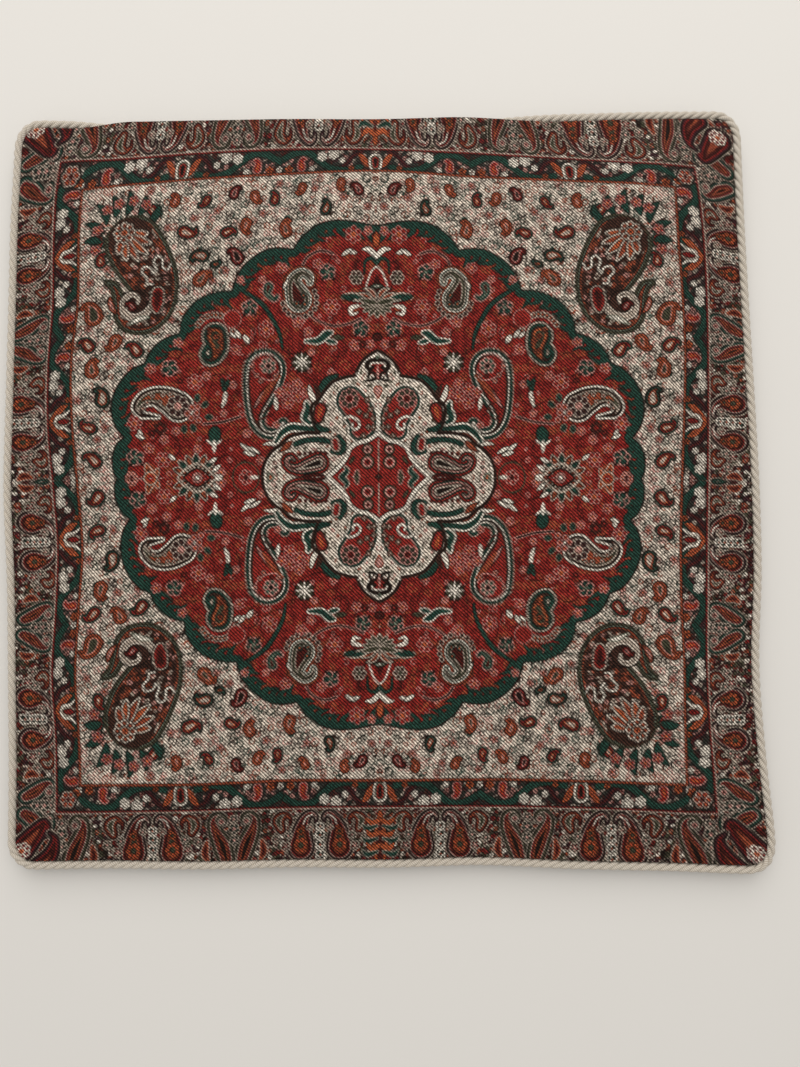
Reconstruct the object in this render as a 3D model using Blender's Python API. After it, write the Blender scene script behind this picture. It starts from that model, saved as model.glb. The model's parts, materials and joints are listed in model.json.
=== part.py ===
"""A thin square floor cushion: a zipped cloth cover with a corded edge, and a loose inner pad.

Metres, +Z up. The origin is the middle of the underside, so the cushion lies on z = 0.
The edge with the zip beneath it runs along -Y. Heights and widths of the soft pieces are
given by how far a point lies inward from the cover's seam, called its inset.
"""

import math

import bmesh
import bpy
from mathutils import Matrix, Vector

# Driving sizes of the whole cushion.
OVERALL_SIDE = 0.450
TOTAL_HEIGHT = 0.032
SEAM_HEIGHT = 0.010
CORNER_RADIUS = 0.011
CORNER_GROWTH = 0.55  # how much rounder each contour gets as it moves inward

# Cloth, cord and clearances.
CLOTH = 0.0007
LAYER_GAP = 0.0003
PAD_GAP = 0.0006
CORD_DIAMETER = 0.0054
SEAM_ALLOWANCE = 0.010
CORD_TAPE_THICKNESS = 0.0006

# How the cover rises from its seam: the face over one width, the back over another.
FACE_SHOULDER = 0.070
FACE_CROWN_SHARE = 0.14
BACK_SHOULDER = 0.060

# The inner pad.
PAD_INSET = 0.012
PAD_SEAM_RISE = 0.003
PAD_FACE_SHOULDER = 0.030
PAD_BACK_SHOULDER = 0.045
PAD_CLOTH = 0.0005

# The zip, which lies in the back, near the -Y edge.
ZIP_INSET = 0.022
ZIP_LENGTH = 0.300
ZIP_SLOT_HALF = 0.0047
ZIP_END_TAPE = 0.008
TAPE_WIDTH = 0.0110
TAPE_THICKNESS = 0.0005
TOOTH_GAP_HALF = 0.0005
TOOTH_ROW_WIDTH = 0.0024
TOOTH_HEIGHT = 0.0013
STOP_LENGTH = 0.003
THREAD_WIDTH = 0.0006
THREAD_HEIGHT = 0.0004
THREAD_SETBACK = 0.0022

# The slider and its puller.
SLIDER_LENGTH = 0.010
SLIDER_HALF_WIDTH = 0.0042
SLIDER_PLATE = 0.0008
SLIDER_WEB_HALF = 0.0002
SLIDER_WEB_LENGTH = 0.0026
SLIDER_RAIL = 0.0008
RUNNING_GAP = 0.0003
ARCH_HALF_LENGTH = 0.0034
ARCH_LEG = 0.0008
ARCH_HALF_WIDTH = 0.0009
ARCH_WINDOW = 0.0017
ARCH_THICKNESS = 0.0008
PULLER_THICKNESS = 0.0010
PULLER_ARM = 0.0010
PULLER_EYE = 0.0045
PULLER_TAB_LENGTH = 0.0150
PULLER_TAB_HALF = 0.0024

# How finely the soft pieces are divided.
CORNER_STEPS = 5
SIDE_STEPS = 5
CORD_SIDES = 4
FACE_INSETS = (0.0, 0.003, 0.008, 0.015, 0.024, 0.035, 0.048, 0.070, 0.110, 0.170)
BACK_INSETS = (0.0, 0.004, 0.012, 0.020, 0.029, 0.038, 0.048, 0.060)
PAD_FACE_INSETS = (0.0, 0.004, 0.012, 0.023, 0.036, 0.058, 0.100, 0.160)
PAD_BACK_INSETS = (0.0, 0.005, 0.014, 0.024, 0.034, 0.048)

# Worked out from the sizes above.
COVER_HALF = OVERALL_SIDE / 2 - CORD_DIAMETER - LAYER_GAP
LAYER = CLOTH + LAYER_GAP
STACK_HALF = CORD_TAPE_THICKNESS / 2 + 2 * LAYER
FACE_EDGE_Z = SEAM_HEIGHT + STACK_HALF
BACK_EDGE_Z = SEAM_HEIGHT - STACK_HALF
PAD_SEAM_Z = SEAM_HEIGHT + PAD_SEAM_RISE

COLOURS = {
    "face_cloth": (0.24, 0.10, 0.08),
    "back_cloth": (0.30, 0.045, 0.04),
    "cord": (0.62, 0.55, 0.44),
    "tape": (0.22, 0.03, 0.03),
    "teeth": (0.16, 0.02, 0.02),
    "metal": (0.55, 0.52, 0.47),
    "thread": (0.28, 0.04, 0.04),
    "pad_cloth": (0.80, 0.78, 0.73),
    "wadding": (0.88, 0.87, 0.84),
}


def clear_scene():
    for obj in list(bpy.data.objects):
        bpy.data.objects.remove(obj)


def make_material(name, roughness=0.85, metallic=0.0):
    """A Principled material of its own for one sub-part."""
    material = bpy.data.materials.new(name)
    material.use_nodes = True
    shader = material.node_tree.nodes["Principled BSDF"]
    shader.inputs["Base Color"].default_value = (*COLOURS[name], 1.0)
    shader.inputs["Roughness"].default_value = roughness
    shader.inputs["Metallic"].default_value = metallic
    return material


def make_object(name, mesh_builder, material, parent=None):
    """A mesh object from a finished bmesh, with its faces turned outward."""
    bmesh.ops.recalc_face_normals(mesh_builder, faces=mesh_builder.faces)
    mesh = bpy.data.meshes.new(name)
    mesh_builder.to_mesh(mesh)
    mesh_builder.free()
    mesh.materials.append(material)
    obj = bpy.data.objects.new(name, mesh)
    bpy.context.scene.collection.objects.link(obj)
    obj.parent = parent
    return obj


def smooth_step(share):
    """A cosine ramp from 0 to 1."""
    held = min(max(share, 0.0), 1.0)
    return 0.5 - 0.5 * math.cos(math.pi * held)


def quarter_wave(share):
    """A rise that starts steep and levels off."""
    return math.sin(math.pi / 2 * min(max(share, 0.0), 1.0))


def face_height(inset):
    """The height of the cover's upper surface."""
    reach = min(max(inset / COVER_HALF, 0.0), 1.0)
    crown = reach * (2 - reach)
    rise = (1 - FACE_CROWN_SHARE) * quarter_wave(inset / FACE_SHOULDER) + FACE_CROWN_SHARE * crown
    return FACE_EDGE_Z + (TOTAL_HEIGHT - FACE_EDGE_Z) * rise


def back_height(inset):
    """The height of the cover's lower surface."""
    return BACK_EDGE_Z * (1 - smooth_step(inset / BACK_SHOULDER))


def back_slope(inset):
    """How steeply the lower surface falls as the inset grows."""
    return BACK_EDGE_Z * math.pi / (2 * BACK_SHOULDER) * math.sin(math.pi * inset / BACK_SHOULDER)


def pad_face_height(inset):
    """The top of the pad, which fills the cover except near the seam."""
    start = PAD_SEAM_Z + LAYER_GAP / 2 + PAD_CLOTH
    full = face_height(inset) - CLOTH - PAD_GAP
    return start + (full - start) * quarter_wave((inset - PAD_INSET) / PAD_FACE_SHOULDER)


def pad_back_height(inset):
    """The underside of the pad, which stays clear of the zip."""
    start = PAD_SEAM_Z - LAYER_GAP / 2 - PAD_CLOTH
    full = back_height(inset) + CLOTH + PAD_GAP
    return start + (full - start) * smooth_step((inset - PAD_INSET) / PAD_BACK_SHOULDER)


def outline(inset):
    """A square with round corners, counter-clockwise, at this inset from the cover's seam."""
    half = COVER_HALF - inset
    radius = min(CORNER_RADIUS + CORNER_GROWTH * max(inset, 0.0), 0.9 * half)
    if inset < 0:
        radius = CORNER_RADIUS - inset
    points = []
    for corner in range(4):
        turn = Matrix.Rotation(math.pi / 2 * corner, 2)
        centre = Vector((half - radius, half - radius))
        for step in range(CORNER_STEPS + 1):
            angle = math.pi / 2 * step / CORNER_STEPS
            arc = Vector((math.cos(angle), math.sin(angle))) * radius
            points.append(turn @ (centre + arc))
        start = turn @ Vector((half - radius, half))
        end = turn @ Vector((radius - half, half))
        points += [start.lerp(end, step / SIDE_STEPS) for step in range(1, SIDE_STEPS)]
    return points


def add_ring(builder, inset, height):
    return [builder.verts.new((point.x, point.y, height)) for point in outline(inset)]


def skin_rings(builder, rings, closed=False):
    """Joins each ring to the next with a band of faces."""
    pairs = list(zip(rings, rings[1:]))
    if closed:
        pairs.append((rings[-1], rings[0]))
    for low, high in pairs:
        for index in range(len(low)):
            after = (index + 1) % len(low)
            builder.faces.new((low[index], low[after], high[after], high[index]))


def cap_ring(builder, ring, height=None):
    """Closes a ring, flat or with a fan to a middle point."""
    if height is None:
        builder.faces.new(ring)
        return
    middle = builder.verts.new((0, 0, height))
    for index in range(len(ring)):
        builder.faces.new((ring[index], ring[(index + 1) % len(ring)], middle))


def folded_sheet(insets, height, side, crown=None):
    """A cloth sheet whose edge is folded in at the seam, as a closed solid.

    side is 1 where the outside faces up and -1 where it faces down. The seam allowance lies
    next to the seam plane, inside the sheet.
    """
    builder = bmesh.new()
    near = SEAM_HEIGHT + side * (CORD_TAPE_THICKNESS / 2 + LAYER_GAP)
    outside = [add_ring(builder, inset, height(inset)) for inset in reversed(insets)]
    fold_low = add_ring(builder, 0.0, near)
    end_low = add_ring(builder, SEAM_ALLOWANCE, near)
    end_high = add_ring(builder, SEAM_ALLOWANCE, near + side * CLOTH)
    fold_high = add_ring(builder, CLOTH, near + side * CLOTH)
    fold_in = add_ring(builder, CLOTH, height(0.0) - side * CLOTH)
    inside = [add_ring(builder, inset, height(inset) - side * CLOTH) for inset in insets[1:]]
    skin_rings(builder, outside + [fold_low, end_low, end_high, fold_high, fold_in] + inside)
    top = None if crown is None else crown
    under = None if crown is None else crown - side * CLOTH
    cap_ring(builder, outside[0], top)
    cap_ring(builder, inside[-1], under)
    return builder


def plain_sheet(insets, height, thickness, crown=None):
    """A closed sheet of the pad's case; thickness is positive where its inside lies above."""
    builder = bmesh.new()
    outside = [add_ring(builder, inset, height(inset)) for inset in reversed(insets)]
    inside = [add_ring(builder, inset, height(inset) + thickness) for inset in insets]
    skin_rings(builder, outside + inside)
    cap_ring(builder, outside[0], crown)
    cap_ring(builder, inside[-1], None if crown is None else crown + thickness)
    return builder


def make_cover_face():
    builder = folded_sheet(FACE_INSETS, face_height, 1, TOTAL_HEIGHT)
    return make_object("face_panel", builder, make_material("face_cloth"))


def zip_line_y():
    return ZIP_INSET - COVER_HALF


def make_back_cutter(name, side):
    """What one back panel leaves to the other panel and to the slot of the zip."""
    reach = OVERALL_SIDE
    line = zip_line_y() + side * LAYER_GAP / 2
    slot = zip_line_y() + side * ZIP_SLOT_HALF
    slot_half = ZIP_LENGTH / 2
    corners = [
        (-reach, -side * reach),
        (reach, -side * reach),
        (reach, line),
        (slot_half, line),
        (slot_half, slot),
        (-slot_half, slot),
        (-slot_half, line),
        (-reach, line),
    ]
    builder = bmesh.new()
    ring = [builder.verts.new((x, y, -TOTAL_HEIGHT)) for x, y in corners]
    face = builder.faces.new(ring)
    raised = bmesh.ops.extrude_face_region(builder, geom=[face])["geom"]
    moved = [item for item in raised if isinstance(item, bmesh.types.BMVert)]
    bmesh.ops.translate(builder, verts=moved, vec=(0, 0, 3 * TOTAL_HEIGHT))
    cutter = make_object(name, builder, make_material("back_cloth"))
    cutter.hide_render = True
    cutter.display_type = "WIRE"
    return cutter


def make_back_panel(name, side):
    """One of the two back panels: side 1 is the main one, -1 the strip beyond the zip."""
    panel = make_object(name, folded_sheet(BACK_INSETS, back_height, -1), make_material("back_cloth"))
    cut = panel.modifiers.new("zip_cut", "BOOLEAN")
    cut.object = make_back_cutter(name + "_cutter", side)
    cut.operation = "DIFFERENCE"
    cut.solver = "EXACT"
    return panel


def make_edge_cord():
    """The cord sewn round the edge, as one closed ring of its outer diameter."""
    builder = bmesh.new()
    sides = 2 * CORD_SIDES
    rings = []
    for step in range(sides):
        angle = 2 * math.pi * (step + 0.5) / sides
        reach = CORD_DIAMETER / 2 / math.cos(math.pi / sides)
        inset = -LAYER_GAP - CORD_DIAMETER / 2 - reach * math.cos(angle)
        rings.append(add_ring(builder, inset, SEAM_HEIGHT + reach * math.sin(angle)))
    skin_rings(builder, rings, closed=True)
    return make_object("edge_cord", builder, make_material("cord"))


def make_cord_tape():
    """The flat tape that the cord is sewn to, held between the seam allowances."""
    builder = bmesh.new()
    half = CORD_TAPE_THICKNESS / 2
    rings = [
        add_ring(builder, 0.0, SEAM_HEIGHT - half),
        add_ring(builder, SEAM_ALLOWANCE, SEAM_HEIGHT - half),
        add_ring(builder, SEAM_ALLOWANCE, SEAM_HEIGHT + half),
        add_ring(builder, 0.0, SEAM_HEIGHT + half),
    ]
    skin_rings(builder, rings, closed=True)
    return make_object("cord_tape", builder, make_material("cord"))


def make_pad_case_face():
    insets = [PAD_INSET + inset for inset in PAD_FACE_INSETS]
    crown = TOTAL_HEIGHT - CLOTH - PAD_GAP
    builder = plain_sheet(insets, pad_face_height, -PAD_CLOTH, crown)
    return make_object("pad_case_face", builder, make_material("pad_cloth"))


def make_pad_case_back():
    insets = [PAD_INSET + inset for inset in PAD_BACK_INSETS]
    builder = plain_sheet(insets, pad_back_height, PAD_CLOTH)
    return make_object("pad_case_back", builder, make_material("pad_cloth"))


def make_pad_filling():
    """The wadding, clear of its case by the same gap all round."""
    builder = bmesh.new()
    edge = PAD_INSET + PAD_GAP
    inward = PAD_CLOTH + PAD_GAP
    upper = [edge + inset for inset in PAD_FACE_INSETS[1:]]
    lower = [edge + inset for inset in PAD_BACK_INSETS[1:]]
    rings = [add_ring(builder, inset, pad_face_height(inset) - inward) for inset in reversed(upper)]
    rings += [add_ring(builder, inset, pad_back_height(inset) + inward) for inset in lower]
    skin_rings(builder, rings)
    cap_ring(builder, rings[0], TOTAL_HEIGHT - CLOTH - PAD_GAP - inward)
    cap_ring(builder, rings[-1])
    return make_object("pad_filling", builder, make_material("wadding"))


def make_zip_frame():
    """An empty on the zip's middle line: X along it, Y inward across it, Z into the cover.

    Its origin lies on the inner face of the tapes.
    """
    slope = math.atan(back_slope(ZIP_INSET))
    tilt = Matrix.Rotation(-slope, 4, "X")
    depth = CLOTH + LAYER_GAP + TAPE_THICKNESS
    on_cloth = Vector((0, zip_line_y(), back_height(ZIP_INSET)))
    frame = bpy.data.objects.new("zip_frame", None)
    frame.matrix_world = Matrix.Translation(on_cloth + tilt @ Vector((0, 0, depth))) @ tilt
    bpy.context.scene.collection.objects.link(frame)
    return frame


def add_box(builder, low, high):
    """A box between two corners."""
    centre = (Vector(low) + Vector(high)) / 2
    size = Vector(high) - Vector(low)
    place = Matrix.Translation(centre) @ Matrix.Diagonal((*size, 1))
    return bmesh.ops.create_cube(builder, size=1, matrix=place)["verts"]


def make_box(name, low, high, material, parent, bevel=0.0):
    builder = bmesh.new()
    add_box(builder, low, high)
    if bevel:
        bmesh.ops.bevel(builder, geom=builder.edges[:], offset=bevel, segments=1, affect="EDGES")
    return make_object(name, builder, material, parent)


def across(side, near, far):
    """A span across the zip, mirrored for side -1."""
    return (near, far) if side > 0 else (-far, -near)


def tooth_levels():
    """The inner and outer heights of the teeth in the zip's frame."""
    inner = -TAPE_THICKNESS - LAYER_GAP
    return inner, inner - TOOTH_HEIGHT


def make_zip_half(label, side, frame):
    """One side of the zip: its tape, its row of teeth, its top stop and its line of thread."""
    tape_half = ZIP_LENGTH / 2 + ZIP_END_TAPE
    low, high = across(side, TOOTH_GAP_HALF, TOOTH_GAP_HALF + TAPE_WIDTH)
    tape = make_material("tape")
    make_box(f"zip_tape_{label}", (-tape_half, low, -TAPE_THICKNESS), (tape_half, high, 0), tape, frame)
    inner, outer = tooth_levels()
    end = ZIP_LENGTH / 2 - STOP_LENGTH - LAYER_GAP
    low, high = across(side, TOOTH_GAP_HALF, TOOTH_GAP_HALF + TOOTH_ROW_WIDTH)
    make_box(f"zip_teeth_{label}", (-end, low, outer), (end, high, inner), make_material("teeth"), frame)
    stop = make_material("metal", 0.35, 1.0)
    stop_end = end + LAYER_GAP + STOP_LENGTH - RUNNING_GAP
    make_box(
        f"zip_top_stop_{label}", (end + LAYER_GAP, low, outer), (stop_end, high, inner), stop, frame, 0.0002
    )
    make_zip_thread(label, side, frame)


def make_zip_thread(label, side, frame):
    """The stitching that holds a folded cloth edge to its tape, as one raised line."""
    line = ZIP_SLOT_HALF + THREAD_SETBACK
    slope = back_slope(ZIP_INSET)
    inset = ZIP_INSET + side * line
    half = ZIP_LENGTH / 2
    middle = Vector((0, inset - COVER_HALF, back_height(inset) - LAYER_GAP - THREAD_HEIGHT / 2))
    thread = make_box(
        f"zip_thread_{label}",
        (-half, -THREAD_WIDTH / 2, -THREAD_HEIGHT / 2),
        (half, THREAD_WIDTH / 2, THREAD_HEIGHT / 2),
        make_material("thread"),
        None,
    )
    thread.matrix_world = Matrix.Translation(middle) @ Matrix.Rotation(-math.atan(slope), 4, "X")


def make_bottom_stop(frame):
    """The single stop at the far end, which joins both rows."""
    inner, outer = tooth_levels()
    half = TOOTH_GAP_HALF + TOOTH_ROW_WIDTH
    start = -ZIP_LENGTH / 2 + RUNNING_GAP
    low = (start, -half, outer - LAYER_GAP)
    high = (start + STOP_LENGTH - RUNNING_GAP, half, inner)
    make_box("zip_bottom_stop", low, high, make_material("metal", 0.35, 1.0), frame, 0.0002)


def slider_levels():
    """The four faces of the slider's two plates in the zip's frame, from inside outward."""
    inner_face = RUNNING_GAP
    _, teeth_outer = tooth_levels()
    outer_plate = teeth_outer - RUNNING_GAP
    return inner_face + SLIDER_PLATE, inner_face, outer_plate, outer_plate - SLIDER_PLATE


def slider_rest_x():
    """Where the slider's middle lies with the zip closed."""
    return ZIP_LENGTH / 2 - STOP_LENGTH - RUNNING_GAP - SLIDER_LENGTH / 2


def union_boxes(name, boxes, material, parent):
    """One solid from overlapping boxes."""
    builder = bmesh.new()
    add_box(builder, *boxes[0])
    body = make_object(name, builder, material, parent)
    for index, (low, high) in enumerate(boxes[1:]):
        piece = bmesh.new()
        add_box(piece, low, high)
        tool = make_object(f"{name}_add_{index}", piece, material, parent)
        tool.hide_render = True
        tool.display_type = "WIRE"
        join = body.modifiers.new(f"join_{index}", "BOOLEAN")
        join.object = tool
        join.operation = "UNION"
        join.solver = "EXACT"
    return body


def arch_boxes(face):
    """The two legs and the bridge over the window that the puller's crossbar turns in."""
    long = ARCH_HALF_LENGTH
    wide = ARCH_HALF_WIDTH
    outer = face - ARCH_WINDOW - ARCH_THICKNESS
    foot = face + SLIDER_PLATE / 2
    return [
        ((-long, -wide, outer), (ARCH_LEG - long, wide, foot)),
        ((long - ARCH_LEG, -wide, outer), (long, wide, foot)),
        ((-long, -wide, outer), (long, wide, outer + ARCH_THICKNESS)),
    ]


def make_slider(frame):
    """Two plates, a divider, rails that hold the tapes, and the arch that holds the puller."""
    top, inner, outer, face = slider_levels()
    back = -SLIDER_LENGTH / 2
    front = SLIDER_LENGTH / 2
    wide = SLIDER_HALF_WIDTH
    rail_top = -TAPE_THICKNESS - RUNNING_GAP
    sunk = SLIDER_PLATE / 2
    boxes = [
        ((back, -wide, face), (front, wide, outer)),
        ((back, -wide, inner), (front, wide, top)),
        ((front - SLIDER_WEB_LENGTH, -SLIDER_WEB_HALF, outer - sunk), (front, SLIDER_WEB_HALF, inner + sunk)),
        ((back, wide - SLIDER_RAIL, outer - sunk), (front, wide, rail_top)),
        ((back, -wide, outer - sunk), (front, SLIDER_RAIL - wide, rail_top)),
    ] + arch_boxes(face)
    slider = union_boxes("zip_slider", boxes, make_material("metal", 0.35, 1.0), None)
    for obj in [slider] + [cut.object for cut in slider.modifiers]:
        obj.parent = frame
        obj.location.x = slider_rest_x()
    return slider


def make_puller(frame):
    """A flat tab whose eye loops through the slider's arch; it hinges on its own crossbar."""
    half = PULLER_THICKNESS / 2
    inside = ARCH_HALF_WIDTH + RUNNING_GAP + 0.0001
    wide = inside + PULLER_ARM
    eye_end = -PULLER_EYE
    tab = eye_end - PULLER_ARM
    boxes = [
        ((-half, -wide, -half), (half, wide, half)),
        ((eye_end - PULLER_ARM, inside, -half), (half, wide, half)),
        ((eye_end - PULLER_ARM, -wide, -half), (half, -inside, half)),
        ((eye_end - PULLER_ARM, -wide, -half), (eye_end, wide, half)),
        ((tab - PULLER_TAB_LENGTH, -PULLER_TAB_HALF, -half), (tab + half, PULLER_TAB_HALF, half)),
    ]
    puller = union_boxes("zip_puller", boxes, make_material("metal", 0.35, 1.0), None)
    _, _, _, face = slider_levels()
    for obj in [puller] + [cut.object for cut in puller.modifiers]:
        obj.parent = frame
        obj.location = (slider_rest_x(), 0, face - ARCH_WINDOW / 2)
    return puller


def main():
    clear_scene()
    make_cover_face()
    make_back_panel("back_panel_main", 1)
    make_back_panel("back_panel_strip", -1)
    make_edge_cord()
    make_cord_tape()
    make_pad_case_face()
    make_pad_case_back()
    make_pad_filling()
    frame = make_zip_frame()
    make_zip_half("inner", 1, frame)
    make_zip_half("outer", -1, frame)
    make_bottom_stop(frame)
    make_slider(frame)
    make_puller(frame)
    bpy.context.view_layer.update()


main()
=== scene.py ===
"""Looks of a thin square floor cushion in a patterned woven cover with a cord round its edge.

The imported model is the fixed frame. Every soft piece is built here to stand for its solid, in
metres, with +Z up and the cushion lying on z = 0. The edge with the zip beneath it runs along -Y.
"""

import json
import logging
import math
from dataclasses import dataclass, field
from enum import Enum, IntEnum
from typing import Callable, Iterable, Optional, Sequence

import bpy
import numpy as np
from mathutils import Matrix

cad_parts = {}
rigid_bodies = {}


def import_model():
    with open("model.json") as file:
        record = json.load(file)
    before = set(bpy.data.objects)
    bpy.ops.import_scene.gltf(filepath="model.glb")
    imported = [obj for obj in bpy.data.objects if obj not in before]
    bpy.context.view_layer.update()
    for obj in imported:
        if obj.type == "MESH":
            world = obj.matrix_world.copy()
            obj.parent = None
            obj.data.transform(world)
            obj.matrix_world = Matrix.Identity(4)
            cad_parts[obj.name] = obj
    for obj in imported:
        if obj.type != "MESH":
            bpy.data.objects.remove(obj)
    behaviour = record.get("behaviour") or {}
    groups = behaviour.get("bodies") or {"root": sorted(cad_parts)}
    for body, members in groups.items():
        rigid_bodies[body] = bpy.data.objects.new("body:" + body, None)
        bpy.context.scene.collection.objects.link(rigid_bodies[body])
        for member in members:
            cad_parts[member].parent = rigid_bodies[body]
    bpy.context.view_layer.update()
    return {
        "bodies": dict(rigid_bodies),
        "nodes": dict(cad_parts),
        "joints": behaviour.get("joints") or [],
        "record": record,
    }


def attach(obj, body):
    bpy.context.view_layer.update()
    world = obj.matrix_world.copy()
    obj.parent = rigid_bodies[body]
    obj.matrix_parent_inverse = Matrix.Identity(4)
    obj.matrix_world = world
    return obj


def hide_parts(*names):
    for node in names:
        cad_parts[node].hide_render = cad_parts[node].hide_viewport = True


LOG = logging.getLogger("cushion")
MM = 0.001

Point = tuple[float, float]
Spine = Sequence[tuple[float, float, float]]


# ---------------------------------------------------------------------------------------------
# The woven design, drawn once for a quarter of the cloth and mirrored over both middle lines.
# Places are (across, along) in millimetres from the middle of the design, both positive.
# ---------------------------------------------------------------------------------------------


DYES: dict[str, str] = {
    "IVORY": "#C9BBAB",
    "STONE": "#A8998A",
    "INK": "#1E130D",
    "GREEN": "#1F3A30",
    "RED": "#80251F",
    "CRIMSON": "#6A1B18",
    "MAROON": "#431611",
    "RUST": "#86402A",
    "ORANGE": "#A04E2E",
    "ROSE": "#B07E74",
    "CHARCOAL": "#2B2A25",
    "OLIVE": "#3D3B2C",
    "PLUM": "#351C1F",
    "BROWN": "#38221A",
    "WHITE": "#D6CCBD",
    "SAGE": "#5A6253",
}

# The dyed yarns of the face cloth, numbered in the order of their dyes.
Yarn = IntEnum("Yarn", list(DYES), start=0)

# The yarns of a shape from its edge inwards, each with the inset in millimetres where it starts,
# negative outside the edge: "INK -0.4, GREEN 0.2". Later ones lie over earlier ones.
Coats = str


def dyed(coats: Coats) -> list[tuple[float, Yarn]]:
    """The insets and the yarns that coats list."""
    pairs = (part.split() for part in coats.split(", "))
    return [(float(inset), Yarn[yarn]) for yarn, inset in pairs]


def polar(middle: Point, radius: float, angle: float) -> Point:
    """The place at a radius from a middle, in the direction of an angle in degrees."""
    turn = math.radians(angle)
    return middle[0] + radius * math.cos(turn), middle[1] + radius * math.sin(turn)


def smooth_path(points: Spine, step: float = 0.45) -> np.ndarray:
    """A Catmull-Rom curve through points, each of which may carry a radius.

    Args:
        points: The points it passes through.
        step: The most that neighbouring samples lie apart, in millimetres.

    Returns:
        The samples, one row each.
    """
    held = np.array(points, float)
    if len(held) == 1:
        return held
    ends = np.vstack([2 * held[0] - held[1], held, 2 * held[-1] - held[-2]])
    parts = []
    for p0, p1, p2, p3 in zip(ends, ends[1:], ends[2:], ends[3:]):
        count = max(2, int(np.hypot(*(p2 - p1)[:2]) / step) + 1)
        t = np.arange(count)[:, None] / count
        parts.append(
            0.5
            * (
                2 * p1
                + (p2 - p0) * t
                + (2 * p0 - 5 * p1 + 4 * p2 - p3) * t**2
                + (3 * p1 - p0 - 3 * p2 + p3) * t**3
            )
        )
    return np.vstack(parts + [held[-1:]])


def smooth_line(points: Iterable[Point]) -> np.ndarray:
    """The samples of a smooth curve through points that carry no radius."""
    return smooth_path([(a, b, 0) for a, b in points])[:, :2]


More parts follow.
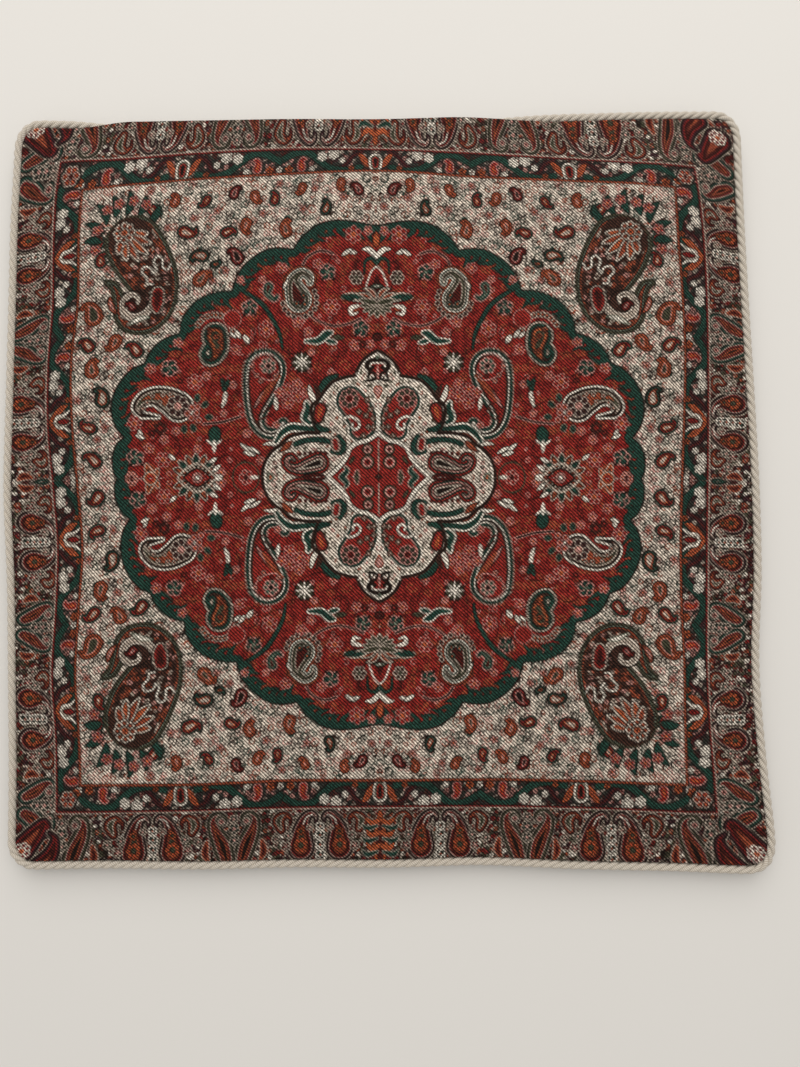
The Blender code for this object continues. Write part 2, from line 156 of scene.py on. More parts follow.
@dataclass
class Loom:
    """A quarter of the cloth as a grid of yarn numbers, finer than the yarns themselves.

    Attributes:
        across: How far the grid reaches sideways, in millimetres.
        along: How far it reaches upwards.
        per_mm: Cells to the millimetre.
    """

    across: float = 232.0
    along: float = 240.0
    per_mm: int = 5
    cells: np.ndarray = field(init=False)
    random: np.random.Generator = field(init=False)

    def __post_init__(self) -> None:
        """Warps the empty grid with ivory yarn."""
        shape = (int(self.along * self.per_mm), int(self.across * self.per_mm))
        self.cells = np.full(shape, int(Yarn.IVORY), np.uint8)
        self.random = np.random.default_rng(1907)

    def window(self, low: Point, high: Point) -> tuple[slice, slice, np.ndarray, np.ndarray]:
        """The part of the grid between two corners.

        Args:
            low: The corner nearest the middle of the design.
            high: The corner furthest from it.

        Returns:
            The rows, the columns, and the sideways and upward places of their cells.
        """
        rows, cols = self.cells.shape
        c0, c1 = (int(np.clip(x * self.per_mm, 0, cols)) for x in (low[0], high[0] + 1))
        r0, r1 = (int(np.clip(x * self.per_mm, 0, rows)) for x in (low[1], high[1] + 1))
        a = (np.arange(c0, c1) + 0.5) / self.per_mm
        b = (np.arange(r0, r1) + 0.5) / self.per_mm
        return slice(r0, r1), slice(c0, c1), a[None, :], b[:, None]

    def blade(self, spine: Spine, coats: Coats, within: Optional[np.ndarray] = None) -> None:
        """Weaves a shape that is as wide about its curved spine as the spine's radii say.

        Args:
            spine: Points of (across, along, radius).
            coats: Its yarns from its edge inwards.
            within: Cells that may change, or None for all.
        """
        path = smooth_path(spine)
        layers = dyed(coats)
        spare = path[:, 2].max() + max(0.0, -min(inset for inset, _ in layers)) + 0.3
        rows, cols, a, b = self.window(
            (path[:, 0].min() - spare, path[:, 1].min() - spare),
            (path[:, 0].max() + spare, path[:, 1].max() + spare),
        )
        if a.size == 0 or b.size == 0:
            return
        depth = np.full((b.size, a.size), -1e9, np.float32)
        for x, y, radius in path.astype(np.float32):
            np.maximum(depth, radius - np.hypot(a - x, b - y), out=depth)
        patch = self.cells[rows, cols]
        allowed = True if within is None else within[rows, cols]
        for inset, yarn in layers:
            patch[(depth > inset) & allowed] = yarn

    def inside(self, outline: Sequence[Point]) -> np.ndarray:
        """The cells inside a closed outline, by the even-odd rule.

        Args:
            outline: Its corners in order.

        Returns:
            Whether each cell is inside.
        """
        points = np.array(outline, float) * self.per_mm - 0.5
        rows, cols = self.cells.shape
        flips = np.zeros((rows, cols + 1), np.int32)
        for (x0, y0), (x1, y1) in zip(points, np.roll(points, -1, 0)):
            if y0 == y1:
                continue
            low, high = sorted((y0, y1))
            hit = np.arange(max(0, math.ceil(low)), min(rows, math.ceil(high)))
            if hit.size:
                x = x0 + (hit - y0) / (y1 - y0) * (x1 - x0)
                np.add.at(flips, (hit, np.clip(np.ceil(x), 0, cols).astype(int)), 1)
        return np.cumsum(flips, 1)[:, :-1] % 2 == 1

    def dots(self, places: np.ndarray, yarns: np.ndarray, size: int, within: np.ndarray) -> None:
        """Weaves many small square dots at once.

        Args:
            places: The dots' middles.
            yarns: One yarn for each.
            size: Cells along a dot's side.
            within: Cells that may change.
        """
        rows, cols = self.cells.shape
        base = np.floor(places * self.per_mm - (size - 1) / 2).astype(int)
        for i in range(size):
            for j in range(size):
                c, r = base[:, 0] + i, base[:, 1] + j
                good = (c >= 0) & (c < cols) & (r >= 0) & (r < rows)
                good[good] = within[r[good], c[good]]
                self.cells[r[good], c[good]] = yarns[good]

    def curls(
        self,
        within: np.ndarray,
        spacing: float,
        radii: Point,
        shares: dict[Yarn, float],
        size: int = 3,
    ) -> None:
        """Fills a ground with small curled tendrils, each a short piece of a spiral.

        Args:
            within: The cells of the ground.
            spacing: How far apart the tendrils start, in millimetres.
            radii: The smallest and largest outer radius of one.
            shares: How much of each yarn is used.
            size: Cells across the drawn line.
        """
        found = np.argwhere(within)
        low, high = found.min(0) / self.per_mm, found.max(0) / self.per_mm
        b, a = np.meshgrid(
            np.arange(low[0], high[0] + spacing, spacing),
            np.arange(low[1], high[1] + spacing, spacing),
            indexing="ij",
        )
        middle = np.stack([a.ravel(), b.ravel()], -1)
        middle += self.random.uniform(-0.5, 0.5, middle.shape) * spacing
        count = len(middle)
        outer = self.random.uniform(*radii, count)
        start = self.random.uniform(0, 2 * math.pi, count)
        sweep = self.random.uniform(3.2, 7.4, count) * self.random.choice((-1, 1), count)
        yarns = self.random.choice(
            [int(y) for y in shares], count,
            p=np.array(list(shares.values())) / sum(shares.values())
        )
        t = np.linspace(0, 1, 34)[None, :]
        angle = start[:, None] + sweep[:, None] * t
        reach = outer[:, None] * (1 - 0.62 * t)
        places = middle[:, None, :] + np.stack(
            [np.cos(angle), np.sin(angle)], -1
        ) * reach[..., None]
        order = np.repeat(yarns, t.size)
        self.dots(places.reshape(-1, 2), order, size, within)

    def colours(self) -> np.ndarray:
        """The grid's colours in linear light, each cell softened over its neighbours."""
        table = np.array([linear(DYES[yarn.name])[:3] for yarn in Yarn], np.float32)
        shown = table[self.cells]
        for axis in (0, 1):
            total = shown.copy()
            for shift in (-1, 1):
                total += np.roll(shown, shift, axis)
            shown = total / 3
        return shown


def linear(code: str) -> tuple[float, float, float, float]:
    """A colour in linear light from its sRGB hex code."""
    parts = [int(code[i : i + 2], 16) / 255 for i in (1, 3, 5)]
    return (*(p / 12.92 if p <= 0.04045 else ((p + 0.055) / 1.055) ** 2.4 for p in parts), 1.0)


def sided(middle: float, side: float, points: Spine, thin: float = 1.0) -> Spine:
    """A spine given outwards from a middle line, laid to one side of it and thinned."""
    return [(middle + side * x, y, r * thin) for x, y, r in points]


def turned(
    spine: Spine, place: Point, angle: float = 0.0, scale: float = 1.0, flip: bool = False
) -> Spine:
    """A motif's spine moved from its own frame to its place.

    Args:
        spine: Points of (across, along, radius) about the motif's own middle.
        place: Where the middle goes.
        angle: How far it turns, in degrees.
        scale: How much larger it gets.
        flip: Whether it is mirrored before it turns.

    Returns:
        The moved spine.
    """
    c, s = math.cos(math.radians(angle)) * scale, math.sin(math.radians(angle)) * scale
    side = -1 if flip else 1
    return [
        (place[0] + side * x * c - y * s, place[1] + side * x * s + y * c, r * scale)
        for x, y, r in spine
    ]


SMALL_BOTEH: Spine = (
    (0.0, -1.6, 3.1),
    (0.2, 0.6, 2.8),
    (1.0, 2.6, 1.9),
    (2.6, 3.6, 1.2),
    (3.9, 2.8, 0.7),
)


class SmallCoat(Enum):
    """How a small scattered boteh is coloured, from its outline inwards."""

    ORANGE = "INK -0.8, RUST -0.1, INK 0.9, ORANGE 1.4, ROSE 2.1, OLIVE 2.6"
    RED_GREEN = "INK -0.8, GREEN -0.3, CRIMSON 0.5, INK 1.4, ORANGE 1.9, STONE 2.5"
    DARK_RED = "INK -0.8, MAROON 0, CRIMSON 0.8, ROSE 1.5, INK 2"
    DARK = "INK -0.9, GREEN 0.2, BROWN 0.9, RUST 1.4, STONE 2.2"


@dataclass
class DesignPart:
    """A region of the design, woven on a loom."""

    loom: Loom

    def blade(self, spine: Spine, coats: Coats, within: Optional[np.ndarray] = None) -> None:
        """Weaves a shape along a curved spine."""
        self.loom.blade(spine, coats, within)

    def boteh(
        self, place: Point, coat: SmallCoat, angle: float = 0.0, scale: float = 1.0,
        flip: bool = False,
    ) -> None:
        """Weaves one small scattered boteh."""
        self.blade(turned(SMALL_BOTEH, place, angle, scale, flip), coat.value)

    def line(
        self, points: Iterable[Point], width: float, yarn: Yarn, within: Optional[np.ndarray] = None
    ) -> None:
        """Weaves a smooth line of one width."""
        self.blade([(a, b, width / 2) for a, b in points], f"{yarn.name} 0", within)

    def disc(self, place: Point, radius: float, coats: Coats) -> None:
        """Weaves rings about a point."""
        self.blade([(*place, radius)], coats)

    def rosette(
        self,
        place: Point,
        radius: float,
        petals: int,
        coats: Coats,
        heart: Yarn,
        turn: float = 0.0,
    ) -> None:
        """Weaves a flower of round petals about a heart.

        Args:
            place: Its middle.
            radius: How far its petals reach.
            petals: How many there are.
            coats: The yarns of a petal from its edge inwards.
            heart: The yarn of its middle.
            turn: The first petal's direction, in degrees.
        """
        size = radius * math.sin(math.pi / petals) / (1 + math.sin(math.pi / petals)) * 1.05
        for k in range(petals):
            angle = math.radians(turn) + 2 * math.pi * k / petals
            across, along = math.cos(angle), math.sin(angle)
            reach = radius - size
            self.disc((place[0] + reach * across, place[1] + reach * along), size, coats)
        self.disc(place, radius * 0.3, f"{heart.name} 0")

    def leaf(self, start: Point, end: Point, width: float, coats: Coats, bow: float = 0.0) -> None:
        """Weaves a leaf that is widest in its middle.

        Args:
            start: Its stalk.
            end: Its tip.
            width: How wide it is.
            coats: Its yarns from its edge inwards.
            bow: How far it bends to its left, as a share of its length.
        """
        (x0, y0), (x1, y1) = start, end
        dx, dy = x1 - x0, y1 - y0
        spine = []
        for t in (0.0, 0.2, 0.4, 0.6, 0.8, 1.0):
            off = 4 * bow * t * (1 - t)
            wide = max(0.12, width / 2 * math.sin(math.pi * (0.08 + 0.84 * t) ** 0.9))
            spine.append((x0 + dx * t - dy * off, y0 + dy * t + dx * off, wide))
        self.blade(spine, coats)


@dataclass
class Field(DesignPart):
    """The ivory ground between the border and the medallion, with its small botehs.

    Attributes:
        half: Half its side, in millimetres.
    """

    half: float = 181.5

    def weave(self) -> None:
        """Weaves the ground and everything scattered on it."""
        ground = np.zeros(self.loom.cells.shape, bool)
        reach = int(self.half * self.loom.per_mm)
        ground[:reach, :reach] = True
        self.loom.cells[ground] = int(Yarn.IVORY)
        shares = {
            Yarn.GREEN: 0.26, Yarn.INK: 0.34, Yarn.ROSE: 0.18, Yarn.RUST: 0.14, Yarn.BROWN: 0.08
        }
        self.loom.curls(ground, 4.2, (1.4, 2.6), shares, 3)
        self.loom.curls(ground, 6.2, (2.2, 3.6), shares, 3)
        self.flowers()
        self.botehs()

    def flowers(self) -> None:
        """Weaves the pale pink flower heads that lie among the tendrils."""
        for place in (
            (175, 120), (128, 152), (117, 112), (100, 118), (163, 31), (168, 24), (160, 68),
            (148, 66), (98, 161), (112, 157), (70, 158), (45, 160), (20, 166), (125, 95), (174, 92),
            (178, 48), (60, 176), (140, 176), (178, 140), (122, 78), (92, 124), (165, 128),
            (5, 160), (38, 172),
        ):
            self.rosette(
                place, 2.6, 5, "BROWN -0.2, ROSE 0.3", Yarn.RUST, self.loom.random.uniform(0, 72)
            )

    def botehs(self) -> None:
        """Weaves the small botehs, each where it stands in the design."""
        orange, green, dark_red, dark = (
            SmallCoat.ORANGE, SmallCoat.RED_GREEN, SmallCoat.DARK_RED, SmallCoat.DARK,
        )
        for place, coat, angle, scale, flip in (
            ((137.5, 163), green, 150, 1.15, False), ((124, 169), orange, 20, 1.0, False),
            ((105, 167), green, 200, 1.0, True), ((88, 172), dark_red, 10, 1.0, True),
            ((75, 168), orange, 170, 1.0, False), ((62.5, 167), green, 15, 1.0, False),
            ((46, 172), orange, 190, 0.9, True), ((30.5, 160), dark, 30, 1.0, False),
            ((11, 171), dark_red, 340, 1.0, False), ((22, 174), orange, 200, 0.9, False),
            ((116, 148), green, 120, 1.35, False), ((91, 148), green, 60, 1.1, True),
            ((80.5, 151), orange, 200, 1.1, False), ((56, 148.5), orange, 340, 1.2, True),
            ((108, 134), dark, 285, 1.25, False), ((85.5, 133), dark_red, 345, 1.3, False),
            ((107, 120), orange, 30, 1.35, True), ((172, 101), orange, 350, 1.75, False),
            ((173, 82), green, 330, 1.25, False), ((157.5, 82), orange, 190, 1.2, True),
            ((145.5, 78), green, 335, 1.25, False), ((170, 67), orange, 345, 1.3, True),
            ((163.5, 49), dark, 10, 1.35, False), ((173, 31), green, 280, 1.2, True),
            ((171, 12), green, 330, 1.3, False), ((170, 146), green, 160, 1.1, True),
            ((169, 134), green, 350, 1.1, True), ((98, 128), dark, 90, 0.7, False),
        ):
            self.boteh(place, coat, angle, scale * 0.92, flip)


@dataclass
class CornerBoteh(DesignPart):
    """The large boteh in each corner of the ivory ground."""

    def weave(self) -> None:
        """Weaves it from its outline inwards."""
        self.crown()
        body = (
            (149, 144, 16.5), (144, 134, 17), (137.5, 122, 15), (133, 111, 10.8),
            (134.5, 101.5, 8.6), (141, 95.5, 7.2), (149.5, 94.5, 5.4), (155, 99, 3.6),
            (157, 106, 2.7), (158.5, 112, 2.2), (161, 117, 1.7), (164.5, 119, 0.9),
        )
        coats = "INK -1.6, OLIVE -1.1, INK -0.1, SAGE 0.4, INK 0.9, RUST 1.6, BROWN 2.1"
        self.blade(body, coats)
        held = np.isin(self.loom.cells, (int(Yarn.BROWN),))
        region = np.zeros_like(held)
        rows, cols, _, _ = self.loom.window((124, 92), (166, 164))
        region[rows, cols] = held[rows, cols]
        self.loom.curls(
            region, 3.2, (0.8, 1.7),
            {Yarn.RUST: 0.4, Yarn.STONE: 0.2, Yarn.INK: 0.25, Yarn.ROSE: 0.15},
        )
        self.fan()
        self.spiral()
        self.ribbon()

    def crown(self) -> None:
        """Weaves the leaves and flowers that stand round the boteh's head."""
        green = "INK -0.5, GREEN 0.2"
        for start, end in (
            ((166, 158), (172, 171)), ((161, 162), (163, 175)), ((154, 163), (153, 177)),
            ((146, 162), (143, 173)), ((168, 152), (178, 159)), ((169, 146), (178, 147)),
            ((139, 157), (134, 166)),
        ):
            self.leaf(start, end, 5.0, green, 0.12)
        for place in ((166, 167), (159, 170), (150, 171), (171, 154), (172, 141), (142, 168)):
            self.rosette(place, 3.4, 5, "INK -0.5, ROSE 0, RED 0.5", Yarn.ORANGE, place[0] * 7)

    def fan(self) -> None:
        """Weaves the scalloped flower in the head and the ribs that spread below it."""
        heart = (154.8, 150.8)
        self.disc((151, 147), 13.5, "BROWN 0")
        for k, far in enumerate((14.6, 18.6, 20.8, 20.8, 18.0, 14.0)):
            near, tip = (polar(heart, radius, 186 + 19.5 * k) for radius in (5, far))
            inner = "RUST" if k % 2 else "ORANGE"
            self.leaf(near, tip, 4.2, f"INK -1, IVORY -0.3, INK 0.4, {inner} 0.8", 0.04)
        self.rosette(heart, 6.6, 8, "INK -0.8, IVORY -0.2, INK 0.5, RUST 0.9", Yarn.ORANGE)
        self.disc(heart, 3.4, "INK 0, STONE 0.5, BROWN 1.1, ORANGE 1.6, MAROON 2.6")

    def spiral(self) -> None:
        """Weaves the curled pale lining of the tail."""
        self.disc((148.5, 105), 9.0, "INK 0, BROWN 1")
        self.blade(
            (
                (137.6, 112, 1.0), (137.6, 104.5, 1.8), (142.0, 98.8, 2.2), (149, 97.4, 2.3),
                (154, 101.2, 2.1), (154.4, 107.4, 1.9), (150.5, 111.2, 1.6), (146, 109.4, 1.2),
                (146.0, 105.6, 0.7),
            ),
            "INK -0.6, IVORY 0, BROWN 0.9, STONE 1.3",
        )
        self.boteh((149.6, 104.4), SmallCoat.DARK_RED, 330, 0.75)
        self.leaf((163, 110), (158.5, 100), 3.6, "INK -0.4, RUST 0.3, ROSE 1", 0.1)
        self.leaf((150, 93), (138, 97), 3.4, "SAGE 0, WHITE 0.6", -0.1)

    def ribbon(self) -> None:
        """Weaves the pale wavy ribbon across the body and the small boteh below it."""
        for path in (
            (
                (137, 117), (140, 117.5), (140.5, 121), (143.5, 124.5), (142, 128), (138, 127),
                (136.5, 123.5),
            ),
            (
                (136.5, 123.5), (134.5, 126), (136, 131), (134, 134.5), (130.8, 132.5),
                (130.6, 127.5), (127.5, 126), (125.6, 129),
            ),
        ):
            self.line(path, 2.2, Yarn.INK)
            self.line(path, 1.05, Yarn.WHITE)
        self.blade(
            ((133.5, 111.5, 4.2), (134, 106, 4.4), (134, 101.5, 2.6)),
            "INK -0.7, STONE 0, INK 0.7, RED 1.1, MAROON 2.4",
        )
        for side in (-1, 1):
            self.line(
                ((134 + 0.4 * side, 108), (134 + 1.4 * side, 111.6), (134 + 3 * side, 109.5)), 0.7,
                Yarn.INK,
            )


@dataclass
class Medallion(DesignPart):
    """The large scalloped red medallion and what grows on it."""

    band: float = 4.4
    mask: np.ndarray = field(init=False)

    LOBES = (
        (
            (0, 149.0), (6, 149.8), (15, 151.6), (26, 152.2), (35, 150.4), (41, 147), (46.5, 142.5),
            (51, 136),
        ),
        ((51, 136), (58, 137), (66, 136.6), (73, 133.4), (80, 128), (85, 121), (88.2, 111.5)),
        (
            (88.2, 111.5), (95, 111.3), (103, 109.5), (110, 106), (115.5, 100.5), (119, 94),
            (120, 86.5),
        ),
        ((120, 86.5), (126, 85), (132.5, 81.5), (137, 76.5), (140.5, 69)),
        (
            (140.5, 69), (147, 66), (152.7, 60), (157, 52), (159, 44), (158.6, 36), (156.6, 30),
            (153, 24.5),
        ),
        ((153, 24.5), (157, 21), (159.8, 14.5), (160.6, 8), (160, 3), (158.6, 0)),
    )

    def weave(self) -> None:
        """Weaves the medallion's ground, its green edge and its flowers."""
        rim = [tuple(p) for lobe in self.LOBES for p in smooth_line(lobe)]
        self.mask = self.loom.inside([*rim, (0, 0)])
        self.loom.cells[self.mask] = int(Yarn.RED)
        self.shading()
        self.vines()
        self.edge()
        self.large_botehs()
        self.middle_botehs()
        self.blossoms()
        self.palmettes()

    def shading(self) -> None:
        """Weaves the faint orange and dark threads that run through the red ground."""
        shares = {Yarn.RUST: 0.52, Yarn.CRIMSON: 0.48}
        self.loom.curls(self.mask, 5.2, (1.2, 3.4), shares, 5)
        self.loom.curls(self.mask, 6.0, (1.0, 2.4), {Yarn.MAROON: 0.8, Yarn.ROSE: 0.2}, 2)

    def edge(self) -> None:
        """Weaves the dark green edge with the barbs on its inner side."""
        for lobe in self.LOBES:
            self.blade([(a, b, self.band + 0.5) for a, b in lobe], "INK 0", self.mask)
            path = smooth_line(lobe)
            length = np.concatenate([[0], np.cumsum(np.hypot(*np.diff(path, axis=0).T))])
            count = max(2, round(length[-1] / 6.6))
            for k in range(count):
                at = np.searchsorted(length, length[-1] * (k + 0.5) / count)
                at = min(max(at, 1), len(path) - 2)
                ahead = path[at + 1] - path[at - 1]
                ahead = ahead / np.hypot(*ahead)
                inward = np.array([ahead[1], -ahead[0]])
                inward = inward if inward @ -path[at] > 0 else -inward
                root = path[at] + inward * (self.band - 1.6)
                lean = -0.75 if k % 2 else -0.4
                reach = 6.4 if k % 3 else 8.2
                bend = root + inward * 3.2 + ahead * 0.5
                tip = root + inward * reach + ahead * reach * lean
                spine = ((*(root - ahead), 1.9), (*bend, 1.5), (*tip, 0.15))
                self.blade(spine, "INK -0.4, GREEN 0", self.mask)
        for lobe in self.LOBES:
            self.blade([(a, b, self.band) for a, b in lobe], "GREEN 0", self.mask)
        for lobe in self.LOBES:
            self.line(lobe, 1.0, Yarn.INK)

    def vines(self) -> None:
        """Weaves the thin dark vines."""
        for middle, radius, start, sweep in (
            ((30, 73), 8, 0, 300), ((24, 76), 6, 60, 280), ((95, 51), 11, 60, 250),
            ((115, 68), 8.5, 200, 280), ((62, 92), 13, 250, 170), ((38, 78), 22, 250, 100),
            ((76, 18), 13, 40, 200), ((100, 14), 10, 10, 150), ((30, 98), 6, 30, 250),
            ((48, 44), 9, 0, 300), ((60, 48), 5, 90, 260), ((80, 84), 7, 0, 280),
            ((140, 40), 7, 200, 200), ((128, 18), 9, 20, 220), ((104, 104), 6, 0, 280),
            ((22, 128), 9, 200, 200), ((12, 85), 5, 90, 270), ((92, 6), 8, 0, 200),
            ((52, 80), 9, 120, 200), ((36, 62), 18, 200, 110),
        ):
            angles = np.radians(start + np.linspace(0, sweep, 14))
            shrink = np.linspace(1, 0.72, 14)
            curl = [
                (middle[0] + radius * k * math.cos(t), middle[1] + radius * k * math.sin(t))
                for t, k in zip(angles, shrink)
            ]
            self.line(curl, 0.8, Yarn.MAROON, self.mask)
        for path in (
            ((41, 96), (34.5, 92), (26, 89.5), (17, 91), (10, 94)),
            ((45, 127), (42, 131.5), (36, 134.4), (31, 134.4), (27, 133)),
            ((106, 32), (95, 33), (84, 36)),
        ):
            self.line(path, 1.9, Yarn.ROSE)
            self.line(path, 1.1, Yarn.INK)
        self.blade(
            (
                (86.5, 113, 0.9), (78, 109, 1.4), (69, 102, 1.5), (62.5, 92, 1.4), (59, 84, 1.2),
                (57.7, 76, 0.8),
            ),
            "INK -0.2, GREEN 0.4",
        )

    def large_botehs(self) -> None:
        """Weaves the large comma-shaped botehs that ring the centre."""
        line = "STONE -3, INK -2.6, GREEN -2, INK -0.9, WHITE -0.4, INK 0.25, BROWN 1, RED 1.9"
        self.blade(
            (
                (68.5, 63.5, 10.2), (70, 57, 9.4), (71.8, 50, 7.4), (73.4, 43.5, 5.2),
                (74.2, 37, 3.2), (73.2, 31.4, 1.8), (69.8, 27.2, 1.2), (64.5, 25.8, 0.9),
                (59.8, 28.2, 0.7), (57.8, 32, 0.5),
            ),
            line,
        )
        self.leaf((61.6, 40), (62.4, 47.5), 2.6, "INK -0.3, WHITE 0.1")
        self.blade(((64, 56, 0.6), (70.5, 48.5, 1.2), (75, 41.5, 0.6)), "INK -0.5, ROSE 0.3")
        self.blade(((59.5, 60, 0.5), (66, 53, 1.3), (71, 45.5, 0.7)), "RUST -0.4")
        self.rosette((66.5, 66), 4.8, 7, "ROSE -0.4, SAGE 0.3, GREEN 0.9", Yarn.INK)
        self.line(
            ((60, 63), (63, 57.8), (70, 58.6), (75.5, 63), (75.5, 69), (70, 73), (63.5, 72.4)), 0.8,
            Yarn.ROSE,
        )
        for place in ((73.5, 60.5), (76.3, 66), (71, 57), (62, 60)):
            self.rosette(place, 1.7, 5, "BROWN -0.2, ROSE 0.2", Yarn.ORANGE)
        for path in (
            ((70, 38), (67, 42), (71, 44)), ((68, 36), (72, 34.5), (74, 38)),
            ((64.5, 36.5), (66, 40), (64, 43)),
        ):
            self.line(path, 0.9, Yarn.MAROON)

    def middle_botehs(self) -> None:
        """Weaves the three flowered botehs and the leaning one at the side."""
        self.blade(
            (
                (47.5, 105.5, 6.6), (50, 112, 4.8), (50.5, 117.5, 3.0), (46, 121.6, 1.9),
                (41.4, 119.4, 1.6), (40.8, 115.6, 0.9),
            ),
            "INK -3, RUST -2.4, INK -1.7, WHITE -1.2, GREEN -0.6, STONE 0.3, INK 0.9, OLIVE 1.4, "
            "STONE 2.6, MAROON 3.1",
        )
        for k in range(11):
            at = polar((47.0, 105.0), 10.4, 150 + 20 * k)
            self.disc(at, 1.35, "STONE -0.3, INK 0.2, MAROON 0.8")
        for place in ((44.5, 108), (49, 103), (44, 102.5)):
            self.rosette(place, 2.0, 5, "INK -0.2, GREEN 0.2, STONE 0.6", Yarn.ORANGE)
        self.blade(
            (
                (98.5, 84.5, 7.0), (97, 77.5, 5.6), (99, 71.5, 3.4), (103, 70, 2.2),
                (105.6, 73.6, 1.6), (104, 78, 1.2),
            ),
            "INK -1.8, STONE -1.2, INK -0.3, GREEN 0.2, INK 1.4, BROWN 1.8, ORANGE 2.9, OLIVE 4",
        )
        for k in range(12):
            at = polar((98.8, 86.0), 11.2, 28 + 13.5 * k)
            self.disc(at, 1.5, "STONE -0.4, INK 0.1, RUST 0.7")
        for place in ((98, 84), (101.5, 88), (95, 81), (97, 75)):
            self.rosette(place, 2.0, 5, "INK -0.2, RUST 0.2, STONE 0.7", Yarn.MAROON)
        self.leaning_boteh()
        self.blade(
            ((66, 113.5, 2.6), (66.6, 109.5, 1.7), (63, 106, 1.2), (60.5, 107.5, 0.7)),
            "ROSE -0.9, GREEN -0.3, SAGE 0.9, MAROON 1.5",
        )

    def leaning_boteh(self) -> None:
        """Weaves the long boteh that leans outwards, and its crown of leaves and rings."""
        for place, angle in (
            ((110, 46), 80), ((106.3, 42.5), 40), ((104.5, 36), 0), ((113, 31.2), -70),
            ((118, 30.6), -90),
        ):
            tip = (polar(place, -3.4, angle)[0], polar(place, 3.4, angle)[1])
            self.leaf(place, tip, 3.0, "SAGE -0.5, INK 0.1, GREEN 0.7")
        self.blade(
            (
                (121, 42.5, 8.2), (127, 46.5, 7.0), (134, 49, 5.2), (140.5, 47.6, 3.9),
                (144.4, 42.6, 2.8), (142.4, 38.4, 1.7), (137.6, 37.4, 1.0), (133, 36.6, 0.5),
            ),
            "INK -1.5, WHITE -1, INK 0, BROWN 1.1, STONE 1.7, OLIVE 2.4, RUST 3.4",
        )
        for place in ((136, 49.5), (130, 50), (132, 45.5), (139, 45.5), (126, 50.5), (141.5, 42)):
            self.rosette(place, 1.7, 5, "BROWN -0.2, STONE 0.2", Yarn.RUST)
        self.rosette((121.5, 43), 6.4, 8, "STONE -0.5, PLUM 0, BROWN 0.9", Yarn.ROSE)
        for place in (
            (113, 42), (110.2, 38.6), (113.6, 35.6), (109, 34.4), (116, 38.4), (109.6, 42.4)
        ):
            self.disc(place, 1.9, "MAROON -0.3, ROSE 0, RED 0.7, ORANGE 1.3")

    def blossoms(self) -> None:
        """Weaves the small green blossoms, the pink ones and the leaves between the botehs."""
        cup = "ROSE -0.9, INK -0.3, GREEN 0.3"
        for place, turn in (
            ((77.5, 101), 20), ((126, 66), 50), ((30, 122), 80), ((147, 12.5), 10), ((10, 88), 30)
        ):
            self.rosette(place, 4.4, 5, cup, Yarn.SAGE, turn)
            self.disc((place[0] - 3.6, place[1] - 4.2), 1.0, "INK 0")
            self.disc((place[0] + 3.2, place[1] - 4.4), 1.0, "INK 0")
        rings = "ROSE 0, RED 0.42"
        for place, size in (
            ((14, 144), 4.6), ((27.5, 101), 4.4), ((67.5, 88), 4.4), ((111, 57), 4.4),
            ((146.5, 33), 4.0), ((131, 11), 4.2), ((58, 125), 3.2), ((55, 52), 3.4),
            ((49, 48), 3.4), ((55, 44), 3.4), ((49, 55), 3.0), ((43, 50), 3.0), ((60, 50), 3.0),
            ((137, 66), 3.0), ((104, 60.5), 2.6), ((94, 38), 2.2), ((48, 92), 3.2), ((42, 86), 2.6),
            ((36, 127), 2.8), ((14, 78), 3.0), ((4.5, 78.5), 2.6), ((121, 81), 2.8),
            ((86, 76), 3.0), ((139, 18), 2.8), ((28, 61), 2.6), ((72, 10), 2.4), ((110, 17), 2.4),
            ((130, 23), 2.6), ((123, 28), 2.4), ((96, 3), 2.6), ((80, 26), 2.4), ((5, 146), 2.6),
            ((62, 31), 2.2), ((90, 92), 2.4), ((70, 118), 2.2), ((83, 118), 2.4), ((88, 55), 2.2),
            ((40, 74), 2.0),
        ):
            self.rosette(
                place, size * 1.15, 6 if size > 3.4 else 5, rings, Yarn.ORANGE, place[0] * 11
            )
        for place, size in (
            ((132, 30), 4.0), ((9, 78.5), 2.4), ((120, 58), 2.0), ((137, 27), 2.2), ((66, 60), 1.6),
            ((82, 8), 2.4),
        ):
            self.rosette(place, size, 6, "MAROON -0.2, BROWN 0.5", Yarn.RED, place[1] * 13)
        self.disc((88, 94.5), 5.6, "ROSE 0, RED 0.45")
        pale = "INK -0.4, WHITE 0.2"
        for start, end, width in (
            ((84, 20), (78, 15), 2.6), ((82, 15), (75, 13), 2.6), ((79, 18), (72, 14), 2.4),
            ((86, 87), (83, 83), 3.0), ((81, 84), (78, 80), 3.4), ((89, 86), (86, 83), 2.4),
            ((144, 29), (143, 23), 3.0), ((146, 26), (141, 24), 2.4), ((18, 134.6), (12, 133), 2.6),
            ((21, 132), (15, 135.5), 2.6), ((57, 112), (54, 118), 2.0),
        ):
            self.leaf(start, end, width, pale)
        self.blade(
            ((43.4, 80.6, 0.6), (36, 80.8, 1.6), (31, 84.5, 1.8), (28, 85.6, 0.8)),
            "WHITE -0.8, GREEN -0.1",
        )
        self.leaf((31, 81), (25, 79.5), 2.8, "WHITE -0.5, GREEN 0.1")
        self.leaf((27, 83), (20, 82.4), 3.6, "MAROON -0.3, OLIVE 0.3")
        self.star()
        self.blade(
            ((99, 29.5, 0.8), (99.5, 26, 3.6), (100, 21.5, 2.0), (100, 18, 0.5)),
            "INK -0.6, GREEN 0.1",
        )
        self.leaf((100, 22), (100, 14.8), 2.6, "WHITE 0")
        for away in (-1, 1):
            self.leaf((100 + 1.2 * away, 19.5), (100 + 4.6 * away, 22.4), 1.4, "WHITE 0")
